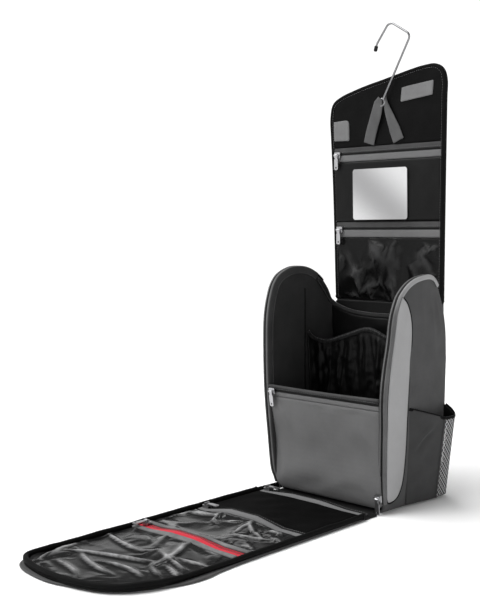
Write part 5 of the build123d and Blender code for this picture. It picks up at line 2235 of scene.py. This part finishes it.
@dataclass
class HangingPanel:
    """The tall panel behind the compartment, with its film pocket, mirror pocket, patches and webbing."""

    def outline(self) -> np.ndarray:
        """The panel's outline, from its foot on the left over the top to its foot on the right."""
        edge = [
            (-97.5, 272.6), (-98, 300), (-98.6, 340), (-99.4, 390), (-100.5, 440), (-102, 485),
            (-103.6, 520), (-104.3, 546), (-99, 567), (-82, 577.5), (-55, 585), (-30, 590.5),
            (-5, 595), (21, 600), (45, 604.6), (68, 608), (87, 608), (99.5, 600), (104.6, 584),
            (103.8, 560), (102.8, 520), (101.6, 470), (99.8, 390), (98.8, 340), (98, 300),
            (97.5, 272.6),
        ]
        return smooth_path(edge, False, 3.0)

    def back_cloth(self) -> None:
        """Makes the outer cloth, which is the panel's back."""
        folds = (Fold((-60, 300), (-20, 380), 14, 1.0, 5), Fold((40, 420), (70, 560), 18, 1.2, 6))
        plate = Plate(
            "panel_outer_cloth",
            upright_board(PANEL_FACE, 1),
            inset(self.outline(), 1.4),
            Relief(7.2, drop=1.6, rounding=5, lumps=0.5, lump_size=70, folds=folds, seed=61),
            Relief(4.3, drop=0),
            SHELL,
            LINING,
            step=4.0,
        )
        over_panel_crease(plate.build(), "shell", "panel_shell", "panel_foot_shell")

    def binding(self) -> None:
        """Makes the panel's binding and its seam."""
        edge = inset(self.outline(), 2.2)
        line = PANEL.place(edge[:, 0], edge[:, 1], np.full(len(edge), -4.0))
        section = [(-2.6, -3.0), (-2.9, 0.2), (-2.3, 2.9), (-0.5, 3.7)]
        section += [(1.4, 3.3), (2.8, 1.9), (2.9, -1.2), (2.4, -3.1)]
        strip = Strip("panel_edge_binding", line, np.array([0, -1.0, 0]), section, [BINDING])
        over_panel_crease(strip.build(), "binding", "panel_binding", "panel_foot_binding")
        seam = inset(self.outline(), 5.0)
        row_line = PANEL.place(seam[:, 0], seam[:, 1], np.full(len(seam), -1.2))
        row = Stitches("panel_edge_stitches", row_line, np.array([0, -1.0, 0]))
        over_panel_crease(row.build(), "binding")

    def hinge(self) -> None:
        """Makes the strip of cloth that joins the panel to the back wall."""
        corners = rectangle(-96.5, 96.5, 258, 288)
        plate = Plate(
            "panel_hinge_cloth",
            upright_board(PANEL_FACE, 1),
            rounded_corners(corners, [1] * 4, 2.0),
            Relief(8.4, drop=1.0, rounding=3, lumps=0.3, seed=63),
            Relief(2.6, drop=0),
            SHELL,
            LINING,
            step=2.6,
        )
        join(plate.build(), ("compartment", "panel_foot"), *PANEL_HINGE_BEND, "shell")

    def film(self) -> None:
        """Makes the clear pocket at the panel's foot."""
        corners = [(-94.8, 272.8), (94.8, 272.8), (95.8, 366.3), (-95.8, 366.3)]
        folds = (
            Fold((-84, 356), (-50, 290), 6, 1.5, 5),
            Fold((-80, 300), (-20, 320), 8, 1.6, 5),
            Fold((-30, 350), (70, 330), 14, 1.6, -12),
            Fold((60, 350), (80, 290), 10, 1.8, 6),
            Fold((-50, 285), (10, 300), 8, 1.4, 4),
        )
        plate = Plate(
            "panel_foot_film",
            PANEL,
            rounded_corners(corners, [1] * 4),
            Relief(-1.6, drop=1.2, rounding=3, puff=1.0, folds=folds, seed=65),
            Relief(-3.9, drop=0),
            PANEL_FILM,
            LINING,
            step=2.2,
            crinkle=Crinkle(slack=0.03, pressure=0.05, floor=0.8, start=1.0, ceiling=4.0),
        )
        dress(plate.build(), "panel_foot", "clear", "panel_foot_pocket")

    def mirror_pocket(self) -> None:
        """Makes the black pocket behind the mirror."""
        corners = [(-96.2, 390.6), (96.2, 390.6), (98.0, 479.7), (-98.0, 479.7)]
        folds = (Fold((52, 474), (74, 400), 12, 1.2, 8), Fold((-80, 470), (-74, 400), 10, 0.7, 4))
        plate = Plate(
            "mirror_pocket_cloth",
            PANEL,
            rounded_corners(corners, [1] * 4),
            Relief(-0.5, drop=1.2, lumps=0.4, lump_size=40, folds=folds, seed=67),
            Relief(-3.9, drop=0),
            SATIN,
            LINING,
        )
        dress(plate.build(), "panel", "lining", "panel_pocket")

    def facing(self) -> None:
        """Makes the black lining at the panel's top."""
        whole = inset(self.outline(), 4.4)
        head = [tuple(p) for p in whole if p[1] > 502]
        outline = np.array([(-98.4, 501.2)] + head + [(98.6, 501.2)])
        folds = (Fold((-60, 575), (-20, 520), 14, -0.8, 4), Fold((50, 530), (90, 545), 12, 0.8, 4))
        plate = Plate(
            "panel_facing_cloth",
            PANEL,
            outline,
            Relief(-1.4, drop=1.2, lumps=0.4, lump_size=50, folds=folds, seed=69),
            Relief(-4.2, drop=0),
            PANEL_LINING,
            LINING,
        )
        dress(plate.build(), "panel", "lining")

    def zips(self) -> None:
        """Makes the panel's two zips."""
        for name, half, low, high, teeth, body in (
            ("panel_low_zip", 95.6, 366.6, 389.6, 379.6, "panel_foot"),
            ("panel_high_zip", 98.0, 480.0, 501.0, 491.6, "panel"),
        ):
            ZipBand(
                name, PANEL, (-half, half), low, high, teeth, -1.3, body, "band", name, coil_width=1.2
            ).build()

    def patches(self) -> None:
        """Makes the two patches of hook and loop tape."""
        for name, corners, radii in (
            ("grip_patch_high", [(28.5, 560.5), (83.5, 566), (85.5, 586), (31, 581)], [1, 1, 1, 1]),
            ("grip_patch_low", [(-96.5, 511.5), (-67, 511), (-67.5, 542), (-97, 541)], [1, 2, 6, 1]),
        ):
            plate = Plate(
                name,
                PANEL,
                rounded_corners(corners, radii, 1.5),
                Relief(0.5, drop=0.9, rounding=1.6, lumps=0.15, lump_size=12, seed=71),
                Relief(-1.6, drop=0),
                PATCH,
                PATCH,
                step=1.5,
            )
            piece = dress(plate.build(), "panel", "patch")
            if name == "grip_patch_high":
                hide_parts("grip_patches")

    def leg(
        self, name: str, points: list[tuple[float, float, float]], widths: list[float]
    ) -> bpy.types.Object:
        """Makes one leg of the webbing as a strap that narrows where it goes through the hook's eye.

        Args:
            name: The piece's name.
            points: Places along it: across, up and out of the panel.
            widths: Its width at each.

        Returns:
            The object.
        """
        given = np.array(points, float)
        run = run_along(given)
        share = np.linspace(0, run[-1], 42)
        smooth = [np.interp(share, run, given[:, k]) for k in range(3)]
        for _ in range(6):
            smooth = [np.concatenate([[s[0]], (s[:-2] + 2 * s[1:-1] + s[2:]) / 4, [s[-1]]]) for s in smooth]
        width = np.interp(share, run, widths)
        path = np.stack(smooth, 1)
        along = np.gradient(path, axis=0)
        along /= np.linalg.norm(along, axis=1)[:, None]
        aside = np.cross(along, np.array([0, 0, 1.0]))
        aside /= np.linalg.norm(aside, axis=1)[:, None]
        out = np.cross(aside, along)
        t = np.linspace(-1, 1, 13)
        shape = (len(path), len(t), 3)
        crown = 0.8 - 0.35 * t**4
        tight = np.clip(1 - width / widths[0], 0, 1)
        bow = tight[:, None] * 3.0 * (1 - t**2)[None, :]
        middle = path[:, None] + aside[:, None] * (t[None, :, None] * width[:, None, None] / 2)
        face = (middle + out[:, None] * (crown[None, :] + bow)[..., None]).reshape(-1, 3)
        back = (middle + out[:, None] * (bow - crown[None, :])[..., None]).reshape(-1, 3)
        front = PANEL.place(face[:, 0], face[:, 1], face[:, 2]).reshape(shape)
        rear = PANEL.place(back[:, 0], back[:, 1], back[:, 2]).reshape(shape)
        u = np.repeat(share[:, None], len(t), 1)
        flat = np.stack([t[None, :] * width[:, None] / 2, u], 2) * MM
        return closed_plate(name, front, rear, flat, [WEBBING, WEBBING])

    def webbing(self) -> None:
        """Makes the V of webbing that carries the hook."""
        left = self.leg(
            "strap_left_webbing",
            [(-29.0, 504.5, 0.2), (-24, 520, 1.2), (-12, 548, 3.2), (-6.5, 561, 5.6), (-2.5, 568.5, 6.2)],
            [19, 19, 18.5, 16, 8],
        )
        dress(left, "panel", "webbing", "hook_strap")
        right = self.leg(
            "strap_right_webbing",
            [(25.2, 506, 0.2), (19, 522, 1.0), (8.5, 548, 2.2), (4.0, 562, 3.0), (3.0, 572, 2.4)],
            [19, 18.5, 12, 7, 3],
        )
        dress(right, "panel", "webbing")

    def build(self) -> None:
        """Makes the whole panel."""
        self.back_cloth()
        self.binding()
        self.hinge()
        self.film()
        self.mirror_pocket()
        self.facing()
        self.zips()
        self.patches()
        self.webbing()


@dataclass
class Hardware:
    """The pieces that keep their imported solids: hook and tip, mirror, base board, sliders and pullers.

    Attributes:
        nodes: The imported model's nodes by name.
    """

    nodes: dict[str, bpy.types.Object]

    def finish(self, name: str, finish: object) -> None:
        """Gives a node its finish."""
        for slot in self.nodes[name].material_slots:
            slot.material = WARDROBE.get(finish)
        log.info("%s keeps its solid", name)

    def build(self) -> None:
        """Finishes every rigid node."""
        self.finish("hook", STEEL)
        self.finish("hook_tip", RUBBER)
        self.finish("mirror", SILVER)
        self.finish("base_board", LINING)
        for name in sorted(self.nodes):
            if "_slider" in name or "_puller" in name:
                self.finish(name, ZINC)


def main() -> None:
    """Builds the bag, sub-assembly by sub-assembly, in its studio."""
    logging.basicConfig(level=logging.INFO, format="%(message)s")
    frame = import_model()
    Studio().build()
    SideWall(Side.RIGHT, RIGHT_WALL, ACCENT).build()
    SideWall(Side.LEFT, LEFT_WALL, ACCENT).build()
    SidePocket(Side.RIGHT).build()
    SidePocket(Side.LEFT).build()
    Front().build()
    BackAndInside().build()
    Flap().build()
    HangingPanel().build()
    Hardware(frame["nodes"]).build()
    log.info("%d nodes in the frame", len(frame["nodes"]))


if __name__ == "__main__":
    main()
